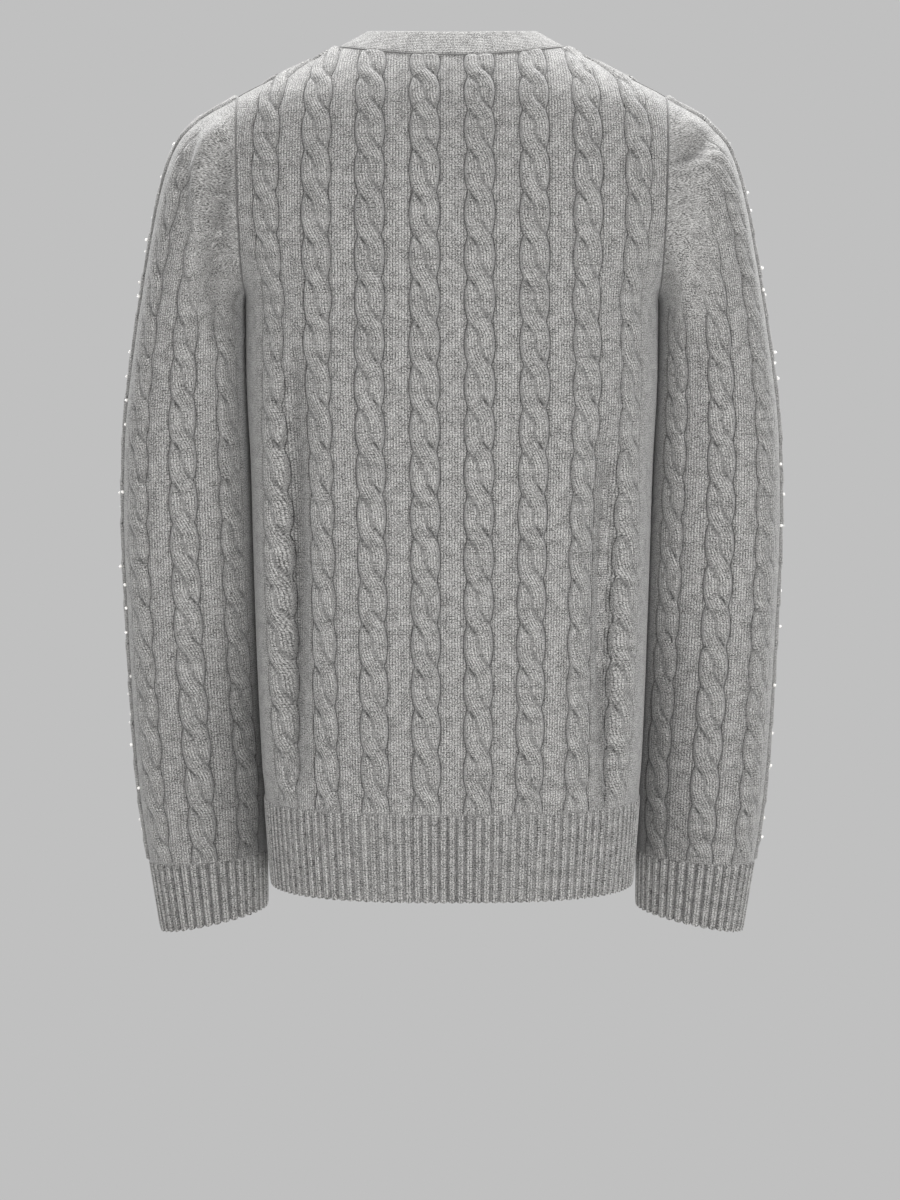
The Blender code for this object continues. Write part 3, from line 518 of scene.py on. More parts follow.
def round_section():
    """A rounded section, as reach to the outside and depth, by share of the way round."""
    angle = np.linspace(0.0, math.pi / 2.0, 241)
    sine, cosine = np.sin(angle), np.cos(angle)
    radius = (sine**SLEEVE_ROUNDNESS + cosine**SLEEVE_ROUNDNESS) ** (-1.0 / SLEEVE_ROUNDNESS)
    reach, deep = evenly(radius * sine, radius * cosine, SLEEVE_QUARTER + 1)
    reach = np.concatenate([reach, reach[-2::-1], -reach[1:], -reach[-2::-1]])
    return reach, np.concatenate([deep, -deep[-2::-1], -deep[1:], deep[-2::-1]])


def armhole_section():
    """The armhole's own outline, as reach from its middle and as real depth."""
    middle, half = (SHOULDER_Z + ARMPIT_Z) / 2.0, (SHOULDER_Z - ARMPIT_Z) / 2.0
    reach, depth = [], []
    quarters = (  # from height, to height, back
        (middle, SHOULDER_Z, True),
        (SHOULDER_Z, middle, False),
        (middle, ARMPIT_Z, False),
        (ARMPIT_Z, middle, True),
    )
    for start, end, back in quarters:
        heights = np.linspace(start, end, 61)
        q = cloth_width_at(armhole_x(heights), heights, back)
        deep = abs(torso_at(q, heights, back)[0][:, 1])
        deep[np.isclose(heights, SHOULDER_Z) | np.isclose(heights, ARMPIT_Z)] = 0.0
        r, y = evenly((heights - middle) / half, deep / half, SLEEVE_QUARTER + 1)
        skip = 1 if reach else 0
        reach += list(r[skip:])
        depth += list((y if back else -y)[skip:] * half)
    return np.array(reach), np.array(depth)


def section_points(values, cap=0.0):
    """Rings of points for rows of section values, from the back's middle outwards and round."""
    inner_x, inner_z, outer_x, outer_z, half_depth, middle_y = values.T[:, :, None]
    reach, deep = round_section()
    deep = middle_y + half_depth * deep
    armhole_reach, armhole_depth = armhole_section()
    reach = reach + cap * (armhole_reach - reach)
    deep = deep + cap * (armhole_depth - deep)
    x = (inner_x + outer_x) / 2.0 + reach * (outer_x - inner_x) / 2.0
    z = (inner_z + outer_z) / 2.0 + reach * (outer_z - inner_z) / 2.0
    return np.stack([x, deep, z], axis=-1)


def tube_normals(point):
    """Outward normals of rings of points whose first and last columns are the same."""
    ring = point[:, :-1]
    around = np.roll(ring, -1, axis=1) - np.roll(ring, 1, axis=1)
    normal = np.cross(around, np.gradient(ring, axis=0))
    outward = ring - ring.mean(axis=1, keepdims=True)
    normal *= np.sign((normal * outward).sum(axis=-1))[..., None]
    return unit(np.concatenate([normal, normal[:, :1]], axis=1))


def sleeve_tube():
    """The left sleeve from the armhole to the cuff, and how far up the cuff's seam each ring is."""
    sections = np.array(SLEEVE_SECTIONS)
    inner = np.hypot(*np.diff(sections[:, :2], axis=0).T)
    outer = np.hypot(*np.diff(sections[:, 2:4], axis=0).T)
    keys = np.concatenate([[0.0], np.cumsum((inner + outer) / 2.0)])
    along = np.linspace(0.0, keys[-1], SLEEVE_RINGS)
    cap = 1.0 - smooth_step(0.0, keys[CAP_SECTIONS], along)
    point = section_points(table_curves(sections, keys)(along), cap[:, None])
    steps = np.linalg.norm(np.diff(point[::-1], axis=0), axis=-1)
    run = np.concatenate([np.zeros((1, steps.shape[1])), np.cumsum(steps, axis=0)])
    up = np.arange(0.0, run[-1].max() + 1.0)
    ring = np.arange(len(along))[::-1].astype(float)
    ring_at = np.stack([np.interp(up, run[:, j], ring) for j in range(run.shape[1])], axis=1)
    return {"point": point, "normal": tube_normals(point), "ring_at": ring_at, "end": run[-1]}


SLEEVE = sleeve_tube()
AROUND = 4 * SLEEVE_QUARTER


def sleeve_end(share):
    """Length of the sleeve's cloth from the cuff's seam to the armhole."""
    return np.interp(share % 1.0 * AROUND, np.arange(AROUND + 1.0), SLEEVE["end"])


def sleeve_at(share, up):
    """Point and normal of the left sleeve, up millimetres of cloth above the cuff's seam."""
    around = share % 1.0 * AROUND
    ring = sampled(SLEEVE["ring_at"], up, around)
    return sampled(SLEEVE["point"], ring, around), unit(sampled(SLEEVE["normal"], ring, around))


# ---------------- the cable pattern


def cable_shape(height, scale, period):
    """Half a cable's width, its groove's place, and how near a crossing it is: -1, 0, 1."""
    way = 1.0 - 2.0 * ((height / period + 0.5) % 1.0)
    swell = np.cos(math.pi / 2.0 * way) ** 0.8
    half = (CABLE_PINCHED + (CABLE_OPEN - CABLE_PINCHED) * swell) * scale
    return half, half * way * abs(way) ** STRAND_GROOVE_BEND, way


def cable_relief(offset, height, scale, knit):
    """Height of the knit, the strand's drift to one side, and the shade painted in its hollows.

    The strand on the left widens as it comes down, and crosses over the one on the right.
    """
    period, tall = knit.cable_period / MM, knit.cable_height / MM
    half, between, way = cable_shape(height, scale, period)
    left = offset < between
    low, high = np.where(left, -half, between), np.where(left, between, half)
    width = np.maximum(high - low, 0.01)
    t = np.clip(2.0 * (offset - low) / width - 1.0, -1.0, 1.0)
    near = smooth_step(*NEAR_CROSSING, abs(way))
    floor = np.where(np.where(left, t, -t) > 0.0, INNER_HALF * (1.0 - near), 0.0)
    dome = (1.0 - abs(t) ** 2.4) ** 0.6
    strand = tall * (width / (2.0 * half)) ** 0.45 * (floor + (1.0 - floor) * dome)
    beside = (abs(offset) - half - EDGE_GROOVE_AT) / EDGE_GROOVE_WIDTH
    edge = np.exp(-(beside**2))
    inside = abs(offset) < half
    relief = np.where(inside, strand, -EDGE_GROOVE * edge)
    drift = np.where(inside, (low + high) / 2.0, 0.0)
    # Painted shade along the hollow between the strands, and in the grooves beside the cable.
    dark = np.exp(-(((offset - between) / STRAND_GROOVE_WIDTH) ** 2)) * (0.2 + 0.8 * near)
    return relief, drift, np.maximum(np.where(inside, dark, 0.0), edge)


def cable_columns(middles, heights, pitch, scale, period):
    """Columns over strips of cables, which follow the cables' wavy edges: place and offset."""
    edge = cable_shape(heights, scale, period)[0]
    fractions = [-f for f in CABLE_FRACTIONS[::-1]] + [0.0] + list(CABLE_FRACTIONS)
    inside = [f * edge for f in fractions]
    half = pitch / 2.0
    beside = [edge + EDGE_GROOVE_AT, edge + 2.0 * EDGE_GROOVE_AT]
    strip = [beside[1] + (half - beside[1]) * share for share in (1 / 3, 2 / 3)]
    right = beside + strip
    offsets = [-half + 0.0 * edge] + [-o for o in right[::-1]] + inside + right
    places, all_offsets = [], []
    for middle in middles:
        places += [middle + o for o in offsets]
        all_offsets += offsets
    places.append(middles[-1] + half + 0.0 * edge)
    all_offsets.append(half + 0.0 * edge)
    return np.array(places), np.array(all_offsets)


def with_plain_sides(places, offsets, low, high):
    """Plain columns from low up to the first cable's strip, and from the last one's to high."""
    for before, end, near in ((True, low, places[0, 0]), (False, high, places[-1, 0])):
        count = max(round(abs(end - near) / PLAIN_STEP), 1)
        if before:
            more = np.linspace(end, near, count + 1)[:-1]
        else:
            more = np.linspace(near, end, count + 1)[1:]
        more = np.repeat(more[:, None], places.shape[1], axis=1)
        pairs = ((more, places), (np.full(more.shape, NO_CABLE), offsets))
        places, offsets = (np.concatenate(pair if before else pair[::-1]) for pair in pairs)
    return places, offsets


# ---------------- walls of knit cloth


def make_object(name, bm, *materials):
    """A finished object at the origin from a bmesh in millimetres."""
    bmesh.ops.scale(bm, vec=(MM, MM, MM), verts=bm.verts)
    mesh = bpy.data.meshes.new(name)
    bm.to_mesh(mesh)
    bm.free()
    for material in materials:
        mesh.materials.append(bpy.data.materials[material])
    mesh.shade_smooth()
    obj = bpy.data.objects.new(name, mesh)
    bpy.context.scene.collection.objects.link(obj)
    return obj


def knit_wall(name, knit, flat, pattern, outer, inner, painted_shade, materials, wrapped=False):
    """A wall of cloth from a grid of points: fine outside, coarse inside, closed round its rim.

    The arrays run by column, to the right as seen from outside, and by row, upwards. Points past
    the piece's edge repeat the edge's own, and are merged.
    """
    columns, rows = flat.shape[:2]
    keys = [[(round(u, 3), round(v, 3)) for u, v in line] for line in flat.tolist()]
    pattern, outer, inner = (a.tolist() for a in (pattern * MM, outer, inner))
    bm = bmesh.new()
    uv = bm.loops.layers.uv.new(UV_NAME)
    # Each point carries the shade painted into its colour.
    shade = bm.verts.layers.float.new("painted_shade")
    bmesh.ops.create_grid(bm, x_segments=columns - 1, y_segments=rows - 1, size=1.0)
    place = {}
    for vert in bm.verts:
        c = round((vert.co.x + 1.0) / 2.0 * (columns - 1))
        r = round((vert.co.y + 1.0) / 2.0 * (rows - 1))
        place[vert] = (c, r)
        vert.co = outer[c][r]
        vert[shade] = painted_shade[c, r]
    for face in bm.faces:
        for loop in face.loops:
            c, r = place[loop.vert]
            loop[uv].uv = pattern[c][r]

    ring = [(c, 0) for c in range(columns)]
    ring += [(columns - 1, r) for r in range(1, rows)]
    ring += [(c, rows - 1) for c in range(columns - 2, -1, -1)]
    ring += [(0, r) for r in range(rows - 2, 0, -1)]
    edge = [spot for spot, before in zip(ring, ring[-1:] + ring)
            if keys[spot[0]][spot[1]] != keys[before[0]][before[1]]]
    rim = {keys[c][r] for c, r in edge}
    step = knit.lattice_step
    lattice = [(c, r) for c in range(step, columns - 1, step) for r in range(step, rows - 1, step)]
    chosen = edge + [(c, r) for c, r in lattice if keys[c][r] not in rim]
    flats = [Vector(flat[c, r]) for c, r in chosen]
    _, _, faces, sources, _, _ = delaunay_2d_cdt(flats, [], [list(range(len(edge)))], 1, 1e-4)
    verts = [bm.verts.new(inner[c][r]) for c, r in chosen]
    source = [ids[0] for ids in sources]
    for face in faces:
        corners = [source[i] for i in face]
        if len(set(corners)) < 3:
            continue
        made = bm.faces.new([verts[i] for i in corners])
        made.material_index = 1
        for loop, i in zip(made.loops, corners):
            loop[uv].uv = flats[i] * MM
    for i, (c, r) in enumerate(edge):
        after = (i + 1) % len(edge)
        c2, r2 = edge[after]
        if wrapped and c == c2 and c in (0, columns - 1):
            continue
        rim_outer = [bm.verts.new(outer[a][b]) for a, b in ((c, r), (c2, r2))]
        made = bm.faces.new((rim_outer[0], rim_outer[1], verts[after], verts[i]))
        ends = (pattern[c][r], pattern[c2][r2])
        for loop, spot in zip(made.loops, (ends[0], ends[1], ends[1], ends[0])):
            loop[uv].uv = spot
    bmesh.ops.remove_doubles(bm, verts=bm.verts, dist=MERGE)
    bmesh.ops.recalc_face_normals(bm, faces=bm.faces)
    obj = make_object(name, bm, *materials)
    obj.data.set_sharp_from_angle(angle=WALL_SHARP)
    return obj


def dress(obj, node):
    """Attaches a cloth piece to the body in the place of its solid, and hides the solid."""
    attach(obj, BODY)
    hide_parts(node)


# ---------------- panels of the torso


def overlap_lift(q, z):
    """How far the left front rises over the right one beside the buttons."""
    over = 1.0 - smooth_step(OVERLAP_FULL_Z, OVERLAP_FROM_Z, z)
    beside = 1.0 - smooth_step(FRONT_EDGE_X, FRONT_EDGE_X + OVERLAP_EASE, abs(q))
    return OVERLAP_LIFT * over * beside


def keep_to_side(corners, back):
    """Holds a torso piece's places in its own half, back or front of the side seams."""
    for corner in corners:
        y = corner[..., 1]
        corner[..., 1] = np.maximum(y, SEAM_GAP / 2) if back else np.minimum(y, -SEAM_GAP / 2)


def torso_cloth(u, height, offset, back, knit, lifted=False):
    """Places of a torso panel's cloth, from its flat places u and height."""
    half = TORSO[back]
    z = np.interp(height, half["height"], LEVELS)
    row_z = z[0]
    limit = np.broadcast_to(side_limit(row_z, back), z.shape)
    turn = -1.0 if back else 1.0
    q = np.clip(u * turn, -limit, limit)
    margin = limit - abs(q)
    if back:
        top = neckline_z(q)
        margin = np.minimum(margin, np.maximum(top - z, 0.0))
        z = np.minimum(z, top)
    else:
        side = 1.0 if u.mean() > 0.0 else -1.0
        edge = np.minimum(cloth_width_at(v_edge_x(row_z), row_z, back), limit)
        q = side * np.maximum(abs(q), edge)
        margin = np.minimum(margin, abs(q) - edge)
    point, normal = torso_at(q, z, back)
    normal[:, :1] = unit(normal[:, :1] * np.array((1.0, 1.0, 0.0)))
    mirrored = np.concatenate([abs(point[..., :1]), point[..., 1:]], axis=-1)
    from_armpit = np.linalg.norm(mirrored - ARMPIT, axis=-1)
    calm = smooth_step(0.0, ARMPIT_CALM, from_armpit)
    fold, painted_crevice_shade = fold_height(point) * smooth_step(0.0, FOLD_FADE, margin) * calm
    lift = overlap_lift(q, z) if lifted else 0.0
    relief, drift, painted_shade = cable_relief(offset, height, 1.0, knit)
    fade = smooth_step(0.0, SEAM_FADE, np.minimum(margin, height))
    fade = fade * smooth_step(0.0, RELIEF_CALM, from_armpit)
    outer = point + normal * (relief * fade + fold + lift)[..., None]
    inner = point + normal * (fold + lift - knit.wall / MM)[..., None]
    at_arm = (z > ARMPIT_Z) & (z < SHOULDER_Z) & (abs(q) >= limit - MERGE)
    held = np.sign(inner[..., 0]) * np.minimum(abs(inner[..., 0]), armhole_x(inner[..., 2]))
    inner[..., 0] = np.where(at_arm, held, inner[..., 0])
    keep_to_side((outer, inner), back)
    height = np.minimum(height, np.interp(z, LEVELS, half["height"]))
    flat = np.stack([q * turn, height], axis=-1)
    pattern = flat - np.stack([drift, 0.0 * drift], axis=-1)
    return flat, pattern, outer, inner, np.minimum(painted_shade * fade + painted_crevice_shade, 1.0)


def knit_torso_panel(node, back, middles, low, high, lifted=False):
    """Knits the back or a front over cloth from low to high, and puts it in its solid's place."""
    knit = bpy.context.scene.cardigan_knit
    top = np.interp(NECK_SIDE_Z, LEVELS, TORSO[back]["height"])
    heights = np.linspace(0.0, top, round(top / (knit.row_step / MM)) + 1)
    columns = cable_columns(middles, heights, TORSO_PITCH, 1.0, knit.cable_period / MM)
    u, offset = with_plain_sides(*columns, low, high)
    height = np.broadcast_to(heights, u.shape)
    arrays = torso_cloth(u, height, offset, back, knit, lifted)
    obj = knit_wall(f"{node}_knit", knit, *arrays, ("wool_cable_knit", "wool_purl_side"))
    dress(obj, node)


class CARDIGAN_OT_back(bpy.types.Operator):
    """Knits the back, with its cables"""

    bl_idname = "cardigan.back"
    bl_label = "Knit the back"

    def execute(self, context):
        middles = [TORSO_PITCH * (k + 0.5) for k in range(-CABLES_A_SIDE, CABLES_A_SIDE)]
        side = float(full_width(ARMPIT_Z, True))
        knit_torso_panel("back", True, middles, -side, side)
        return {"FINISHED"}


class CARDIGAN_OT_fronts(bpy.types.Operator):
    """Knits the two fronts, with the left one lifted over the right beside the buttons"""

    bl_idname = "cardigan.fronts"
    bl_label = "Knit the fronts"

    def execute(self, context):
        side, edge = float(full_width(ARMPIT_Z, False)), FRONT_EDGE_X - MERGE
        middles = [FRONT_EDGE_X + TORSO_PITCH * (k + 0.5) for k in range(CABLES_A_SIDE)]
        knit_torso_panel("front_left", False, middles, edge, side, lifted=True)
        middles = [-m for m in middles[::-1]]
        knit_torso_panel("front_right", False, middles, -side, -edge)
        return {"FINISHED"}


# ---------------- sleeves


def cap_calm(point):
    """How far the pattern is stretched away on the cap's faces beside the armhole: 0 to 1."""
    faces = smooth_step(*CAP_FACES, abs(point[..., 1] - SLEEVE_SECTIONS[0][5]))
    beside = 1.0 - smooth_step(*CAP_BESIDE, abs(point[..., 0]))
    return faces * beside * smooth_step(*CAP_ABOVE, point[..., 2])


def sleeve_cloth(u, up, offset, sign, knit):
    """Places of one sleeve's cloth. u runs to the right as seen from outside, from the underarm."""
    share = SEAM_SHARE - sign * u / SLEEVE_CLOTH
    end = sleeve_end(share)
    up = np.minimum(up, end)
    point, normal = sleeve_at(share, up)
    first = SLEEVE_SECTIONS[-1]
    across = unit(np.array((first[2] - first[0], 0.0, first[3] - first[1])))
    axis = np.cross(across, (0.0, 1.0, 0.0))
    normal[:, :1] = unit(normal[:, :1] - (normal[:, :1] @ axis)[..., None] * axis)
    from_armpit = np.linalg.norm(point - ARMPIT, axis=-1)
    calm = smooth_step(0.0, ARMPIT_CALM, from_armpit)
    margin = end - up
    turned = point * np.array((sign, 1.0, 1.0))
    fold, painted_crevice_shade = fold_height(turned) * calm
    fold = fold * smooth_step(0.0, CAP_FOLD_FADE, margin)
    # Painted shade where the sleeve lies beside the body, strongest by the underarm seam low on the
    # sleeve.
    from_body = abs((share - SEAM_SHARE + 0.5) % 1.0 - 0.5) * SLEEVE_CLOTH / CONTACT_REACH
    painted_crevice_shade += CONTACT_SHADE * np.exp(-(from_body**2)) * (1.0 - smooth_step(*CONTACT_FADE, up))
    relief, drift, painted_shade = cable_relief(offset, up, SLEEVE_PITCH / TORSO_PITCH, knit)
    fade = smooth_step(0.0, SEAM_FADE, np.minimum(margin, up)) * (1.0 - cap_calm(point))
    fade = fade * smooth_step(0.0, RELIEF_CALM, from_armpit)
    outer = point + normal * (relief * fade + fold)[..., None]
    inner = point + normal * (fold - knit.wall / MM)[..., None]
    beside = armhole_x(inner[..., 2]) + SEAM_GAP
    inner[..., 0] = np.where(margin <= MERGE, np.maximum(inner[..., 0], beside), inner[..., 0])
    for corner in (outer, inner):
        corner[..., 0] *= sign
    flat = np.stack([u, up], axis=-1)
    pattern = flat - np.stack([drift, 0.0 * drift], axis=-1)
    return flat, pattern, outer, inner, np.minimum(painted_shade * fade + painted_crevice_shade, 1.0)


class CARDIGAN_OT_sleeves(bpy.types.Operator):
    """Knits the two sleeves, with a plain strip along the underarm seam"""

    bl_idname = "cardigan.sleeves"
    bl_label = "Knit the sleeves"

    def execute(self, context):
        knit = context.scene.cardigan_knit
        row = knit.row_step / MM
        heights = np.arange(math.ceil(SLEEVE["end"].max() / row) + 1) * row
        middles = [SLEEVE_PITCH * k for k in range(1, SLEEVE_REPEATS)]
        scale = SLEEVE_PITCH / TORSO_PITCH
        columns = cable_columns(middles, heights, SLEEVE_PITCH, scale, knit.cable_period / MM)
        u, offset = with_plain_sides(*columns, 0.0, SLEEVE_CLOTH)
        up = np.broadcast_to(heights, u.shape)
        materials = ("wool_cable_knit", "wool_purl_side")
        for side, sign in SIDES:
            arrays = sleeve_cloth(u, up, offset, sign, knit)
            obj = knit_wall(f"sleeve_{side}_knit", knit, *arrays, materials, wrapped=True)
            places = np.empty(3 * len(obj.data.vertices))
            obj.data.vertices.foreach_get("co", places)
            calm = obj.data.attributes.new("calm", "FLOAT", "POINT")
            calm.data.foreach_set("value", cap_calm(places.reshape(-1, 3) / MM))
            dress(obj, f"sleeve_{side}")
        return {"FINISHED"}


# ---------------- ribs


def rib_relief(u, pitch):
    """Rounded ribs with narrow grooves, and the shade painted into each point by how deep it lies.
    """
    crest = abs(np.cos(math.pi * u / pitch)) ** RIB_ROUNDNESS
    return RIB_GROOVE + (RIB_CREST - RIB_GROOVE) * crest, RIB_SHADE * (1.0 - crest) ** 1.5


def ribbed_cloth(u, pitch, height, top, point, normal, lift, knit):
    """Outer and inner places of ribs that fade at their seam, and the shade painted between ribs.

    The cast-off edge is drawn in a little, and waves with the ribs.
    """
    relief, painted_shade = rib_relief(u, pitch)
    fade = smooth_step(0.0, SEAM_FADE, top - height)
    cast_off = 1.0 - smooth_step(0.0, CAST_OFF_HEIGHT, height)
    outer = point + normal * (relief * fade - CAST_OFF_DRAW * cast_off + lift)[..., None]
    outer[..., 2] -= cast_off * (relief - RIB_GROOVE) * CAST_OFF_WAVE
    return outer, point + normal * (lift - knit.wall / MM)[..., None], painted_shade * fade


def rim_heights(top, spaces):
    """Rows of a ribbed piece: close together at its cast-off edge and at its seam."""
    return np.concatenate([RIM_ROWS, np.linspace(7.0, top - 2.0, spaces), [top - 1.0, top]])


def hem_cloth(u, height, back, knit, lifted):
    """Places of a hem piece's cloth. A front's ribs are spread to its straight edge."""
    z = HEM_Z + height
    q = -u
    if not back:
        near, side = abs(u).min(), abs(u).max()
        edge = cloth_width_at(FRONT_EDGE_X, z[0], False)
        q = np.sign(u) * (side - (side - abs(u)) * (side - edge) / (side - near))
    point, normal = torso_at(q, z, back)
    normal = unit(normal * np.array((1.0, 1.0, 0.0)))
    lift = overlap_lift(q, z) if lifted else 0.0 * q
    top = HEM_SEAM_Z - HEM_Z
    outer, inner, painted_shade = ribbed_cloth(u, RIB_PITCH, height, top, point, normal, lift, knit)
    keep_to_side((outer, inner), back)
    flat = np.stack([u, height], axis=-1)
    return flat, flat, outer, inner, painted_shade


class CARDIGAN_OT_hem(bpy.types.Operator):
    """Knits the ribbed hem of the back and of each front"""

    bl_idname = "cardigan.hem"
    bl_label = "Knit the hem"

    def execute(self, context):
        knit = context.scene.cardigan_knit
        back_side = float(full_width(ARMPIT_Z, True))
        front_side = float(full_width(ARMPIT_Z, False))
        edge = float(cloth_width_at([FRONT_EDGE_X], [HEM_SEAM_Z], False)[0])
        pieces = (
            ("hem_back", True, -back_side, back_side, False, "back"),
            ("hem_front_left", False, edge, front_side, True, "front_left"),
            ("hem_front_right", False, -front_side, -edge, False, "front_right"),
        )
        for name, back, low, high, lifted, above in pieces:
            ribs = round((high - low) / RIB_PITCH)
            u = np.linspace(low, high, ribs * RIB_COLUMNS + 1)
            heights = rim_heights(HEM_ROWS_TOP, HEM_ROWS)
            heights = heights * (HEM_SEAM_Z - HEM_Z) / heights[-1]
            u, height = np.meshgrid(u, heights, indexing="ij")
            arrays = hem_cloth(u, height, back, knit, lifted)
            obj = knit_wall(f"{name}_knit", knit, *arrays, ("wool_rib_knit", "wool_purl_side"))
            dress(obj, name)
        return {"FINISHED"}


def cuff_cloth(u, height, length, sign, knit, ribs):
    """Places of one cuff's cloth. u runs to the right as seen from outside, in ribs."""
    around = (SEAM_SHARE - sign * u / ribs) % 1.0 * AROUND
    rings, marks = section_points(np.array(CUFF_SECTIONS)), np.arange(AROUND + 1.0)
    upper, lower = (
        np.stack([np.interp(around, marks, ring[:, k]) for k in range(3)], axis=-1)
        for ring in rings
    )
    part = (height / length)[..., None]
    point = lower * (1.0 - part) + upper * part
    normal = unit(sampled(tube_normals(rings), 1.0 - height / length, around))
    flush = 0.0 * height
    outer, inner, painted_shade = ribbed_cloth(u, 1.0, height, length, point, normal, flush, knit)
    for corner in (outer, inner):
        corner[..., 0] *= sign
    flat = np.stack([u * RIB_PITCH, height], axis=-1)
    return flat, flat, outer, inner, painted_shade


class CARDIGAN_OT_cuffs(bpy.types.Operator):
    """Knits the ribbed cuffs"""

    bl_idname = "cardigan.cuffs"
    bl_label = "Knit the cuffs"

    def execute(self, context):
        knit = context.scene.cardigan_knit
        inner_x, _, outer_x, outer_z, half_depth, _ = CUFF_SECTIONS[0]
        ribs = round(math.pi * (half_depth + (outer_x - inner_x) / 2.0) / RIB_PITCH)
        length = math.hypot(outer_x - CUFF_SECTIONS[1][2], outer_z - CUFF_SECTIONS[1][3])
        u = np.linspace(0.0, ribs, ribs * RIB_COLUMNS + 1)
        u, height = np.meshgrid(u, rim_heights(length, CUFF_ROWS), indexing="ij")
        materials = ("wool_rib_knit", "wool_purl_side")
        for side, sign in SIDES:
            arrays = cuff_cloth(u, height, length, sign, knit, ribs)
            obj = knit_wall(f"cuff_{side}_knit", knit, *arrays, materials, wrapped=True)
            dress(obj, f"cuff_{side}")
        return {"FINISHED"}


# ---------------- band


def front_line(side):
    """Seam points and normals beside one front, from the hem up to the neck's side."""
    z = np.arange(HEM_Z, NECK_SIDE_Z, 3.0)
    q = np.minimum(cloth_width_at(v_edge_x(z), z, False), side_limit(z, False)) * side
    point, normal = torso_at(q, z, False)
    lift = overlap_lift(q, z) if side > 0.0 else 0.0 * z
    return point + normal * lift[:, None], normal


def neck_line():
    """Seam points and normals round the back of the neck, from the wearer's right to the left."""
    side = float(full_width(NECK_SIDE_Z, True))
    q = np.linspace(-side, side, 73)
    point, normal = torso_at(q, neckline_z(q), True)
    point[:, 1] = np.maximum(point[:, 1], 0.0)
    return point, normal


def smoothed(values, reach):
    """Each row's mean with its neighbours, as far as reach rows away."""
    padded = np.concatenate([values[:1].repeat(reach, 0), values, values[-1:].repeat(reach, 0)])
    return sum(padded[i : i + len(values)] for i in range(2 * reach + 1)) / (2 * reach + 1)


def band_cloth(u, run, point, normal, free):
    """Places of the band's cloth: u from its seam to its free edge, run along its length."""
    reach = (free - point)[None]
    crown = BAND_CROWN * (1.0 - (2.0 * u / BAND_WIDTH - 1.0) ** 2)
    edges = np.minimum(u, BAND_WIDTH - u)
    rolled = crown - BAND_ROLL * (1.0 - smooth_step(0.0, BAND_ROLL_WIDTH, edges))
    start = point[None] + reach * (SEAM_GAP / BAND_WIDTH)
    middle = start + reach * (u / BAND_WIDTH)[..., None] * (1.0 - SEAM_GAP / BAND_WIDTH)
    outer, inner = middle + normal[None] * rolled[..., None], middle - normal[None] * BAND_WALL
    flat = np.stack([u, run], axis=-1)
    return flat, flat, outer, inner, 0.0 * u


def band_path():
    """Seam points, normals and free edge of the band, up the right front and down the left."""
    right, neck, left = front_line(-1.0), neck_line(), front_line(1.0)
    point, normal = (np.concatenate([a, b, c[::-1]]) for a, b, c in zip(right, neck, left))
    normal = unit(smoothed(normal, 2))
    inward = unit(smoothed(np.cross(np.gradient(point, axis=0), normal), 4))
    free = point + inward * BAND_WIDTH
    lies = 1.0 - smooth_step(BAND_LIES_FULL_Z, BAND_LIES_FROM_Z, free[:, 2])
    lies = np.where(point[:, 1] < 0.0, lies, 0.0)[:, None]
    z = np.where(point[:, 2] > V_FOOT_Z, free[:, 2], point[:, 2])
    z = np.clip(z, LEVELS[0], LEVELS[-1])
    q = cloth_width_at(abs(free[:, 0]), z, False) * np.sign(free[:, 0])
    resting, up = torso_at(q, z, False)
    lifted = np.where(point[:, 0] > 0.0, overlap_lift(FRONT_EDGE_X, z), 0.0)
    resting = resting + up * lifted[:, None]
    return point, normal, free * (1.0 - lies) + resting * lies


class CARDIGAN_OT_band(bpy.types.Operator):
    """Knits the close band up one front, round the neck and down the other"""

    bl_idname = "cardigan.band"
    bl_label = "Knit the band"

    def execute(self, context):
        knit = context.scene.cardigan_knit
        point, normal, free = band_path()
        u, run = np.meshgrid(BAND_COLUMNS, run_along(point), indexing="ij")
        arrays = band_cloth(u, run, point, normal, free)
        obj = knit_wall("band_knit", knit, *arrays, ("wool_band_knit", "wool_band_knit"))
        dress(obj, "band")
        return {"FINISHED"}


# ---------------- seams


def yarn_along(name, points, normals, radius):
    """Linking yarn along a seam: a slim tube that weaves from side to side of it."""
    run = run_along(points)
    at = np.arange(0.0, run[-1], YARN_STEP)
    line = np.stack([np.interp(at, run, points[:, k]) for k in range(3)], axis=1)
    up = unit(np.stack([np.interp(at, run, normals[:, k]) for k in range(3)], axis=1))
    side = np.cross(unit(np.gradient(line, axis=0)), up)
    weave = np.sin(at * math.tau / YARN_WAVE + 0.7)[:, None]
    line = line + side * weave * YARN_SWAY + up * YARN_RISE
    curve = bpy.data.curves.new(name, "CURVE")
    curve.dimensions = "3D"
    curve.bevel_depth = radius
    curve.bevel_resolution = 1
    curve.use_fill_caps = True
    spline = curve.splines.new("POLY")
    spline.points.add(len(line) - 1)
    flat = np.concatenate([line * MM, np.ones((len(line), 1))], axis=1)
    spline.points.foreach_set("co", flat.ravel())
    source = bpy.data.objects.new(name, curve)
    bpy.context.scene.collection.objects.link(source)
    graph = bpy.context.evaluated_depsgraph_get()
    mesh = bpy.data.meshes.new_from_object(source.evaluated_get(graph))
    bpy.data.objects.remove(source)
    bpy.data.curves.remove(curve)
    bm = bmesh.new()
    bm.from_mesh(mesh)
    bpy.data.meshes.remove(mesh)
    bmesh.ops.remove_doubles(bm, verts=bm.verts, dist=1e-6)
    bmesh.ops.recalc_face_normals(bm, faces=bm.faces)
    bmesh.ops.scale(bm, vec=(1.0 / MM,) * 3, verts=bm.verts)
    obj = make_object(name, bm, "wool_seam")
    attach(obj, BODY)


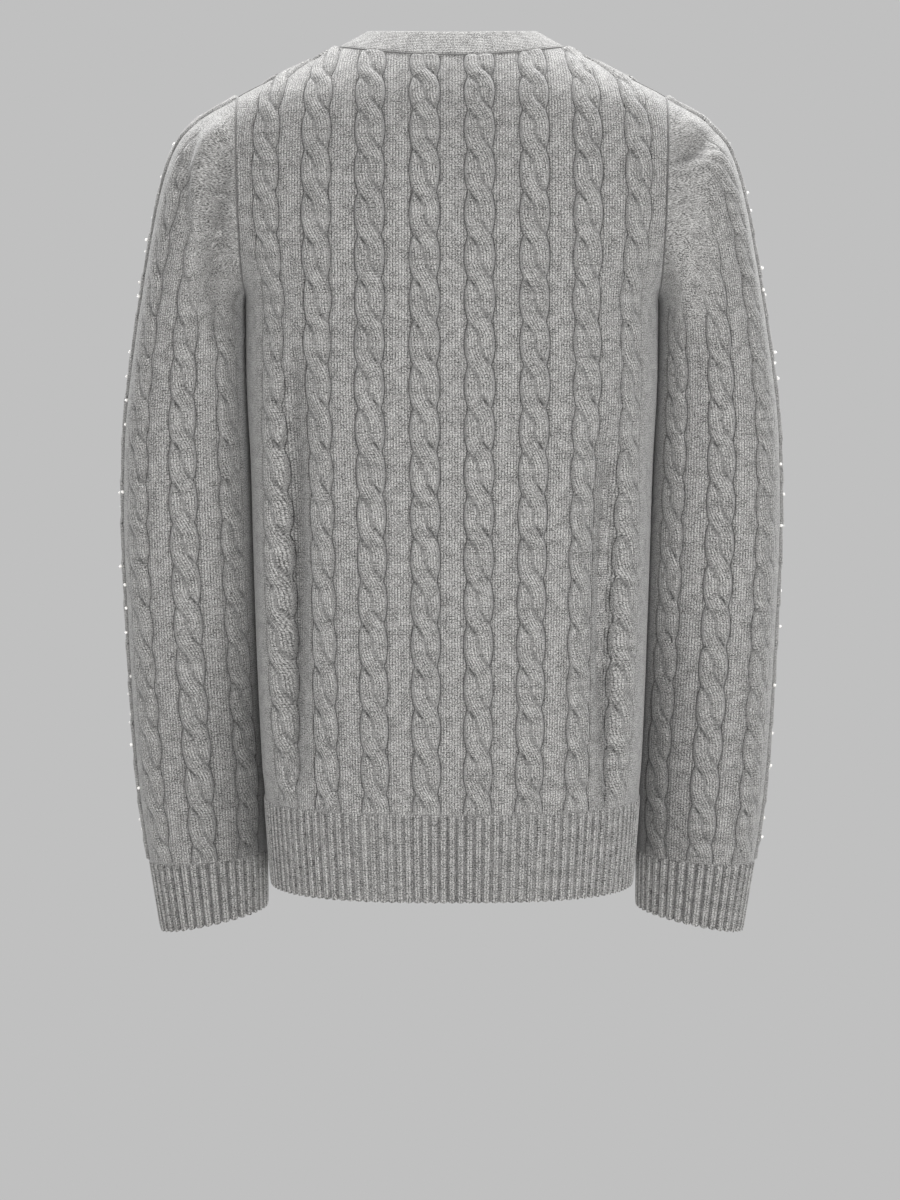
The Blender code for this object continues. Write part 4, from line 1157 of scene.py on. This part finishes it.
class CARDIGAN_OT_seams(bpy.types.Operator):
    """Links the pieces with yarn along the shoulder, side, armhole, sleeve and neck seams"""

    bl_idname = "cardigan.seams"
    bl_label = "Link the seams"

    def execute(self, context):
        radius = context.scene.cardigan_trim.seam_radius
        shoulder = np.arange(SHOULDER_Z, NECK_SIDE_Z, 1.0)
        under_arm = np.arange(HEM_Z, ARMPIT_Z, 3.0)
        share = np.linspace(0.0, 1.0, 240) + SEAM_SHARE
        up = np.arange(0.0, float(sleeve_end(SEAM_SHARE)), 4.0)
        lines = {
            "shoulder": torso_at(full_width(shoulder, True), shoulder, True),
            "side": torso_at(full_width(under_arm, True), under_arm, True),
            "armhole": sleeve_at(share, sleeve_end(share) - 0.4),
            "sleeve": sleeve_at(SEAM_SHARE + 0.0 * up, up),
        }
        for side, sign in SIDES:
            mirror = np.array((sign, 1.0, 1.0))
            for seam, (point, normal) in lines.items():
                yarn_along(f"seam_{seam}_{side}", point * mirror, normal * mirror, radius)
        point, normal, _ = band_path()
        yarn_along("seam_band", point, normal, radius)
        return {"FINISHED"}


# ---------------- buttons and beads


def button_body(radius):
    """A turned button with a raised rim and four sewing holes, as a bmesh in millimetres."""
    half = BUTTON_THICK / 2.0
    bm = bmesh.new()
    verts = [bm.verts.new((r * radius, 0.0, h * half)) for r, h in BUTTON_PROFILE]
    edges = [bm.edges.new(pair) for pair in zip(verts, verts[1:])]
    bmesh.ops.spin(
        bm, geom=verts + edges, cent=(0, 0, 0), axis=(0, 0, 1), angle=math.tau, steps=40,
        use_merge=True,
    )
    bmesh.ops.remove_doubles(bm, verts=bm.verts, dist=MERGE)
    bmesh.ops.recalc_face_normals(bm, faces=bm.faces)
    return bm


def drilled_button(radius):
    """The button's mesh with its sewing holes cut through, in millimetres."""
    pair = []
    cutter = bmesh.new()
    reach, hole = HOLE_REACH * radius, HOLE_RADIUS * radius
    for x, y in ((-reach, -reach), (-reach, reach), (reach, -reach), (reach, reach)):
        bmesh.ops.create_cone(
            cutter, cap_ends=True, segments=14, radius1=hole, radius2=hole,
            depth=2.0 * BUTTON_THICK, matrix=Matrix.Translation((x, y, 0.0)),
        )
    for bm in (button_body(radius), cutter):
        mesh = bpy.data.meshes.new("button_blank")
        bm.to_mesh(mesh)
        bm.free()
        obj = bpy.data.objects.new("button_blank", mesh)
        bpy.context.scene.collection.objects.link(obj)
        pair.append(obj)
    cut = pair[0].modifiers.new("holes", "BOOLEAN")
    cut.operation = "DIFFERENCE"
    cut.object = pair[1]
    bpy.context.view_layer.update()
    made = bpy.data.meshes.new_from_object(
        pair[0].evaluated_get(bpy.context.evaluated_depsgraph_get())
    )
    for obj in pair:
        mesh = obj.data
        bpy.data.objects.remove(obj)
        bpy.data.meshes.remove(mesh)
    return made


def sewing_thread(bm, radius):
    """Two pairs of thread strands between the holes, each a slim rounded bar."""
    reach = HOLE_REACH * radius
    for x in (-reach, reach):
        for side in (-0.32, 0.32):
            place = Matrix.Translation((x + side, 0.0, 0.55))
            shape = Matrix.Diagonal((0.4, reach * 1.25, 0.5, 1.0))
            made = bmesh.ops.create_icosphere(bm, subdivisions=2, radius=1.0, matrix=place @ shape)
            for vert in made["verts"]:
                for face in vert.link_faces:
                    face.material_index = 1


class CARDIGAN_OT_buttons(bpy.types.Operator):
    """Makes the buttons, sewn on with thread"""

    bl_idname = "cardigan.buttons"
    bl_label = "Make the buttons"

    def execute(self, context):
        radius = context.scene.cardigan_trim.button_radius / MM
        blank = drilled_button(radius)
        for index in range(BUTTON_COUNT):
            name = f"button_{index + 1}"
            z = np.array([BUTTON_TOP_Z - index * BUTTON_STEP])
            point, normal = (Vector(a[0]) for a in torso_at(np.zeros(1), z, False))
            out = OVERLAP_LIFT + SEAM_GAP + BUTTON_THICK / 2.0
            turn = normal.to_track_quat("Z", "X").to_matrix().to_4x4()
            bm = bmesh.new()
            bm.from_mesh(blank)
            sewing_thread(bm, radius)
            bmesh.ops.transform(
                bm, matrix=Matrix.Translation(point + normal * out) @ turn, verts=bm.verts
            )
            obj = make_object(f"{name}_turned", bm, "polyester_button", "wool_seam")
            obj.data.set_sharp_from_angle(angle=BUTTON_SHARP)
            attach(obj, BODY)
            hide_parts(name)
        bpy.data.meshes.remove(blank)
        return {"FINISHED"}


def sew_beads(name, points, normals, radius):
    """One mesh of beads that sit on the knit at the given places."""
    bm = bmesh.new()
    for point, normal in zip(points.tolist(), normals.tolist()):
        place = Matrix.Translation(Vector(point) + Vector(normal) * radius * 0.6)
        bmesh.ops.create_uvsphere(bm, u_segments=8, v_segments=5, radius=radius, matrix=place)
    obj = make_object(name, bm, "glass_bead")
    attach(obj, BODY)


def scattered(low, high, bottom, top, spacing, seed):
    """Uneven places over a rectangle, about one to each square of the spacing."""
    chance = random.Random(seed)
    places = []
    columns, rows = round((high - low) / spacing), round((top - bottom) / spacing)
    for c in range(columns):
        for r in range(rows):
            across = c + 0.5 + chance.uniform(-BEAD_SCATTER, BEAD_SCATTER)
            up = r + 0.5 + chance.uniform(-BEAD_SCATTER, BEAD_SCATTER)
            x, y = low + across * (high - low) / columns, bottom + up * (top - bottom) / rows
            places.append((x, y))
    return np.array(places)


def shoulder_beads(side, spacing, seed, knit):
    """Points and normals of the beads on one front, between the neck's side and the armhole."""
    half = TORSO[False]
    top = float(np.interp(NECK_SIDE_Z, LEVELS, half["height"]))
    points, normals = [], []
    bottom = top - SHOULDER_BEADS
    for x, height in scattered(*SHOULDER_BEADS_X, bottom, top - 3.0, spacing, seed):
        z = np.interp([height], half["height"], LEVELS)
        edge = cloth_width_at(v_edge_x(z), z, False)[0]
        if not edge + BEAD_MARGIN < x < side_limit(z, False)[0] - BEAD_MARGIN:
            continue
        offset = ((x - FRONT_EDGE_X) % TORSO_PITCH - TORSO_PITCH / 2.0) * side
        place = np.array([[side * x]]), np.array([[height]]), np.array([[offset]])
        _, _, outer, inner, _ = torso_cloth(*place, False, knit)
        points.append(outer[0, 0])
        normals.append(unit(outer[0, 0] - inner[0, 0]))
    return np.array(points), np.array(normals)


class CARDIGAN_OT_beads(bpy.types.Operator):
    """Sews small beads over the front half of the sleeves and the front of the shoulders"""

    bl_idname = "cardigan.beads"
    bl_label = "Sew on the beads"

    def execute(self, context):
        knit, trim = context.scene.cardigan_knit, context.scene.cardigan_trim
        radius, spacing = trim.bead_radius / MM, trim.bead_spacing / MM
        around = [share * SLEEVE_CLOTH for share in BEADS_ROUND]
        for side, sign in SIDES:
            places = scattered(*around, *BEADS_UP, spacing, SLEEVE_SEED + int(sign))
            share, up = places[:, :1] / SLEEVE_CLOTH, places[:, 1:]
            u = ((SEAM_SHARE - share) * sign * SLEEVE_CLOTH) % SLEEVE_CLOTH
            offset = (u + SLEEVE_PITCH / 2.0) % SLEEVE_PITCH - SLEEVE_PITCH / 2.0
            keep = (up < sleeve_end(share) - 6.0)[:, 0]
            _, _, outer, inner, _ = sleeve_cloth(u[keep], up[keep], offset[keep], sign, knit)
            outer, inner = outer[:, 0], inner[:, 0]
            sew_beads(f"beads_sleeve_{side}", outer, unit(outer - inner), radius)
            points, normals = shoulder_beads(sign, spacing, SHOULDER_SEED + int(sign), knit)
            sew_beads(f"beads_front_{side}", points, normals, radius)
        return {"FINISHED"}


# ---------------- materials


def add_node(material, kind, inputs=(), **settings):
    """Adds a shader node, sets its properties, and gives its inputs values, sockets or nodes."""
    tree = material.node_tree
    node = tree.nodes.new(f"ShaderNode{kind}")
    for name, value in settings.items():
        setattr(node, name, value)
    for name, value in inputs.items() if isinstance(inputs, dict) else enumerate(inputs):
        if isinstance(value, bpy.types.Node):
            value = value.outputs[0]
        if isinstance(value, bpy.types.NodeSocket):
            tree.links.new(value, node.inputs[name])
        else:
            node.inputs[name].default_value = value
    return node


def new_material(name, inputs):
    """A material, and its shader with the given values."""
    material = bpy.data.materials.new(name)
    material.use_nodes = True
    shader = material.node_tree.nodes["Principled BSDF"]
    for key, value in inputs.items():
        shader.inputs[key].default_value = value
    return material, shader


def make_wool(name, yarn, wale, course, purl=False):
    """Woollen marl yarn, carded from dark and light fibres: matt, flecked, with a faint halo."""
    material, shader = new_material(name, {
        "Base Color": yarn.light, "Roughness": 0.92, "Sheen Weight": 0.35,
        "Sheen Roughness": 0.5, "Specular IOR Level": 0.2,
    })
    uv = add_node(material, "UVMap", uv_map=UV_NAME)
    flat = add_node(material, "VectorMath", (uv, (1.0 / MM,) * 3), operation="MULTIPLY")
    split = add_node(material, "SeparateXYZ", (flat,))
    across, up = split.outputs["X"], split.outputs["Y"]
    if purl:
        across, up = up, across
        wale, course = course, wale

    # Each wale is a column of V stitches: two slanting legs that meet in its middle.
    leg = add_node(material, "Math", (across, wale / 2.0), operation="PINGPONG")
    leg_turn = add_node(material, "Math", (leg, 1.25 * math.pi / wale), operation="MULTIPLY")
    leg_round = add_node(material, "Math", (leg_turn,), operation="SINE")
    slant = add_node(material, "Math", (leg, 0.9, up), operation="MULTIPLY_ADD")
    stitch_turn = add_node(material, "Math", (slant, math.tau / course), operation="MULTIPLY")
    stitch = add_node(material, "Math", (stitch_turn,), operation="SINE")
    stitch_share = add_node(material, "Math", (stitch, 0.2, 0.8), operation="MULTIPLY_ADD")
    stitch_height = add_node(material, "Math", (leg_round, stitch_share), operation="MULTIPLY")
    # Where the knit is stretched over a sleeve's cap, its stitches flatten out.
    calm = add_node(material, "Attribute", attribute_name="calm").outputs["Fac"]
    calm_share = add_node(material, "Math", (calm, 0.85), operation="MULTIPLY")
    yarn_height = add_node(
        material, "Mix", {0: calm_share, 2: stitch_height, 3: 0.62}, data_type="FLOAT"
    )

    # Flecks of single fibres, drawn about twice as coarse as they are so that they show.
    fleck = add_node(
        material, "TexNoise", {"Vector": flat, "Scale": 0.8, "Detail": 2.0, "Roughness": 0.7}
    ).outputs["Fac"]
    fleck_share = add_node(
        material, "MapRange", {"Value": fleck, "From Min": 0.36, "From Max": 0.64}
    )
    cloud = add_node(
        material, "TexNoise", {"Vector": flat, "Scale": 0.11, "Detail": 2.0, "Roughness": 0.55}
    ).outputs["Fac"]
    cloud_share = add_node(
        material, "MapRange",
        {"Value": cloud, "From Min": 0.25, "From Max": 0.75, "To Min": -0.2, "To Max": 0.2},
    )
    share = add_node(
        material, "Math", (fleck_share, cloud_share), operation="ADD", use_clamp=True
    )
    marl = add_node(material, "Mix", {0: share, 6: yarn.dark, 7: yarn.light}, data_type="RGBA")
    # Painted shade: the colour is darkened in grooves, creases, where a sleeve lies by the body and
    # between the stitch legs, as light hardly reaches there.
    painted_shade = add_node(material, "Attribute", attribute_name="painted_shade").outputs["Fac"]
    shade = add_node(material, "MapRange", {"Value": painted_shade, "To Min": 1.0, "To Max": 0.18})
    # Painted shade and light of the stitches: darker between their legs, lighter on their tops.
    yarn_shade = add_node(
        material, "MapRange", {"Value": yarn_height, "To Min": 0.45, "To Max": 1.17}
    )
    both = add_node(material, "Math", (shade, yarn_shade), operation="MULTIPLY")
    coloured = add_node(
        material, "VectorMath", {0: marl.outputs[2], "Scale": both}, operation="SCALE"
    )
    fuzz = add_node(material, "Math", (fleck, 0.8, yarn_height), operation="MULTIPLY_ADD")
    bump = add_node(material, "Bump", {"Height": fuzz, "Distance": 0.45 * MM, "Strength": 0.7})
    link = material.node_tree.links.new
    link(coloured.outputs[0], shader.inputs["Base Color"])
    link(bump.outputs[0], shader.inputs["Normal"])


def make_button_plastic(trim):
    """Cast polyester, tumbled to a soft gloss, with a faint cloudy depth."""
    material, shader = new_material(
        "polyester_button", {"Base Color": trim.button_colour, "Roughness": 0.28, "IOR": 1.54}
    )
    coords = add_node(material, "TexCoord").outputs["Object"]
    cloud = add_node(material, "TexNoise", {"Vector": coords, "Scale": 220.0, "Detail": 3.0})
    darker = [c * 0.55 for c in trim.button_colour[:3]] + [1.0]
    tint = add_node(
        material, "Mix", {0: cloud.outputs["Fac"], 6: darker, 7: trim.button_colour},
        data_type="RGBA",
    )
    material.node_tree.links.new(tint.outputs[2], shader.inputs["Base Color"])


def make_bead_glass(trim):
    """Small lined glass beads, which flash white where light meets them."""
    new_material("glass_bead", {
        "Base Color": trim.bead_colour, "Roughness": 0.12, "IOR": 1.52, "Coat Weight": 0.6,
        "Coat Roughness": 0.05,
    })


class CARDIGAN_OT_materials(bpy.types.Operator):
    """Makes the wools, the button plastic and the bead glass"""

    bl_idname = "cardigan.materials"
    bl_label = "Make the materials"

    def execute(self, context):
        yarn, trim = context.scene.cardigan_yarn, context.scene.cardigan_trim
        wale, course = yarn.wale / MM, yarn.course / MM
        make_wool("wool_cable_knit", yarn, wale, course)
        make_wool("wool_rib_knit", yarn, RIB_PITCH / 3.0, course)
        make_wool("wool_band_knit", yarn, wale * 0.8, course * 0.8)
        make_wool("wool_purl_side", yarn, wale, course, purl=True)
        make_wool("wool_seam", yarn, wale, course)
        make_button_plastic(trim)
        make_bead_glass(trim)
        return {"FINISHED"}


# ---------------- stage


def add_light(name, place, aim, size, power):
    """A soft panel light that the camera doesn't see."""
    data = bpy.data.lights.new(name, "AREA")
    data.shape = "RECTANGLE"
    data.size, data.size_y = size
    data.energy = power
    light = bpy.data.objects.new(name, data)
    light.location = place
    light.rotation_mode = "QUATERNION"
    light.rotation_quaternion = (Vector(aim) - Vector(place)).to_track_quat("-Z", "Y")
    light.visible_camera = False
    bpy.context.scene.collection.objects.link(light)


class CARDIGAN_OT_stage(bpy.types.Operator):
    """Sets the floor, the backdrop's colour, the studio lights and the camera"""

    bl_idname = "cardigan.stage"
    bl_label = "Set the stage"

    def execute(self, context):
        scene, stage = context.scene, context.scene.cardigan_stage
        bm = bmesh.new()
        bmesh.ops.create_circle(bm, cap_ends=True, segments=96, radius=FLOOR_RADIUS / MM)
        bmesh.ops.translate(bm, vec=(0.0, 0.0, stage.floor_height / MM), verts=bm.verts)
        material, shader = new_material(
            "painted_floor", {"Base Color": stage.floor_colour, "Roughness": 0.8}
        )
        coords = add_node(material, "TexCoord").outputs["Object"]
        mottle = add_node(material, "TexNoise", {"Vector": coords, "Scale": 90.0})
        bump = add_node(
            material, "Bump", {"Height": mottle.outputs["Fac"], "Distance": 0.2 * MM}
        )
        material.node_tree.links.new(bump.outputs[0], shader.inputs["Normal"])
        make_object("floor", bm, "painted_floor")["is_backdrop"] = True

        world = bpy.data.worlds.new("studio")
        world.use_nodes = True
        background = world.node_tree.nodes["Background"]
        background.inputs["Color"].default_value = stage.backdrop
        background.inputs["Strength"].default_value = 1.0
        scene.world = world
        scene.view_settings.view_transform = "Standard"

        for light in LIGHTS:
            add_light(*light)

        camera = bpy.data.objects.new("camera", bpy.data.cameras.new("camera"))
        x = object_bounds()[0].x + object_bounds()[1].x
        place = Vector((x / 2.0 + CAMERA_ASIDE, stage.camera_distance, stage.camera_height))
        aim = Vector((place.x, 0.0, stage.aim_height))
        camera.location = place
        camera.rotation_mode = "QUATERNION"
        camera.rotation_quaternion = (aim - place).to_track_quat("-Z", "Y")
        camera.data.sensor_width = SENSOR_WIDTH
        camera.data.lens = SENSOR_WIDTH * (aim - place).length / stage.view_height
        scene.collection.objects.link(camera)
        scene.camera = camera
        return {"FINISHED"}


# ---------------- panel and main


STEPS = (
    CARDIGAN_OT_materials,
    CARDIGAN_OT_back,
    CARDIGAN_OT_fronts,
    CARDIGAN_OT_sleeves,
    CARDIGAN_OT_hem,
    CARDIGAN_OT_cuffs,
    CARDIGAN_OT_band,
    CARDIGAN_OT_seams,
    CARDIGAN_OT_buttons,
    CARDIGAN_OT_beads,
    CARDIGAN_OT_stage,
)


class CARDIGAN_PT_panel(bpy.types.Panel):
    """Lists the cardigan's settings and steps"""

    bl_idname = "CARDIGAN_PT_panel"
    bl_label = "Cable knit cardigan"
    bl_space_type = "VIEW_3D"
    bl_region_type = "UI"
    bl_category = "Cardigan"

    def draw(self, context):
        for group in GROUPS:
            box = self.layout.box()
            for name in GROUPS[group].__annotations__:
                box.prop(getattr(context.scene, group), name)
        for step in STEPS:
            self.layout.operator(step.bl_idname)


GROUPS = {
    "cardigan_knit": KnitSettings,
    "cardigan_yarn": YarnSettings,
    "cardigan_trim": TrimSettings,
    "cardigan_stage": StageSettings,
}


def register():
    for cls in (*GROUPS.values(), *STEPS, CARDIGAN_PT_panel):
        bpy.utils.register_class(cls)
    for name, cls in GROUPS.items():
        setattr(bpy.types.Scene, name, bpy.props.PointerProperty(type=cls))


def unregister():
    for name in GROUPS:
        delattr(bpy.types.Scene, name)
    for cls in (CARDIGAN_PT_panel, *reversed(STEPS), *reversed(GROUPS.values())):
        bpy.utils.unregister_class(cls)


def main():
    register()
    for step in STEPS:
        group, name = step.bl_idname.split(".")
        getattr(getattr(bpy.ops, group), name)()


if __name__ == "__main__":
    main()
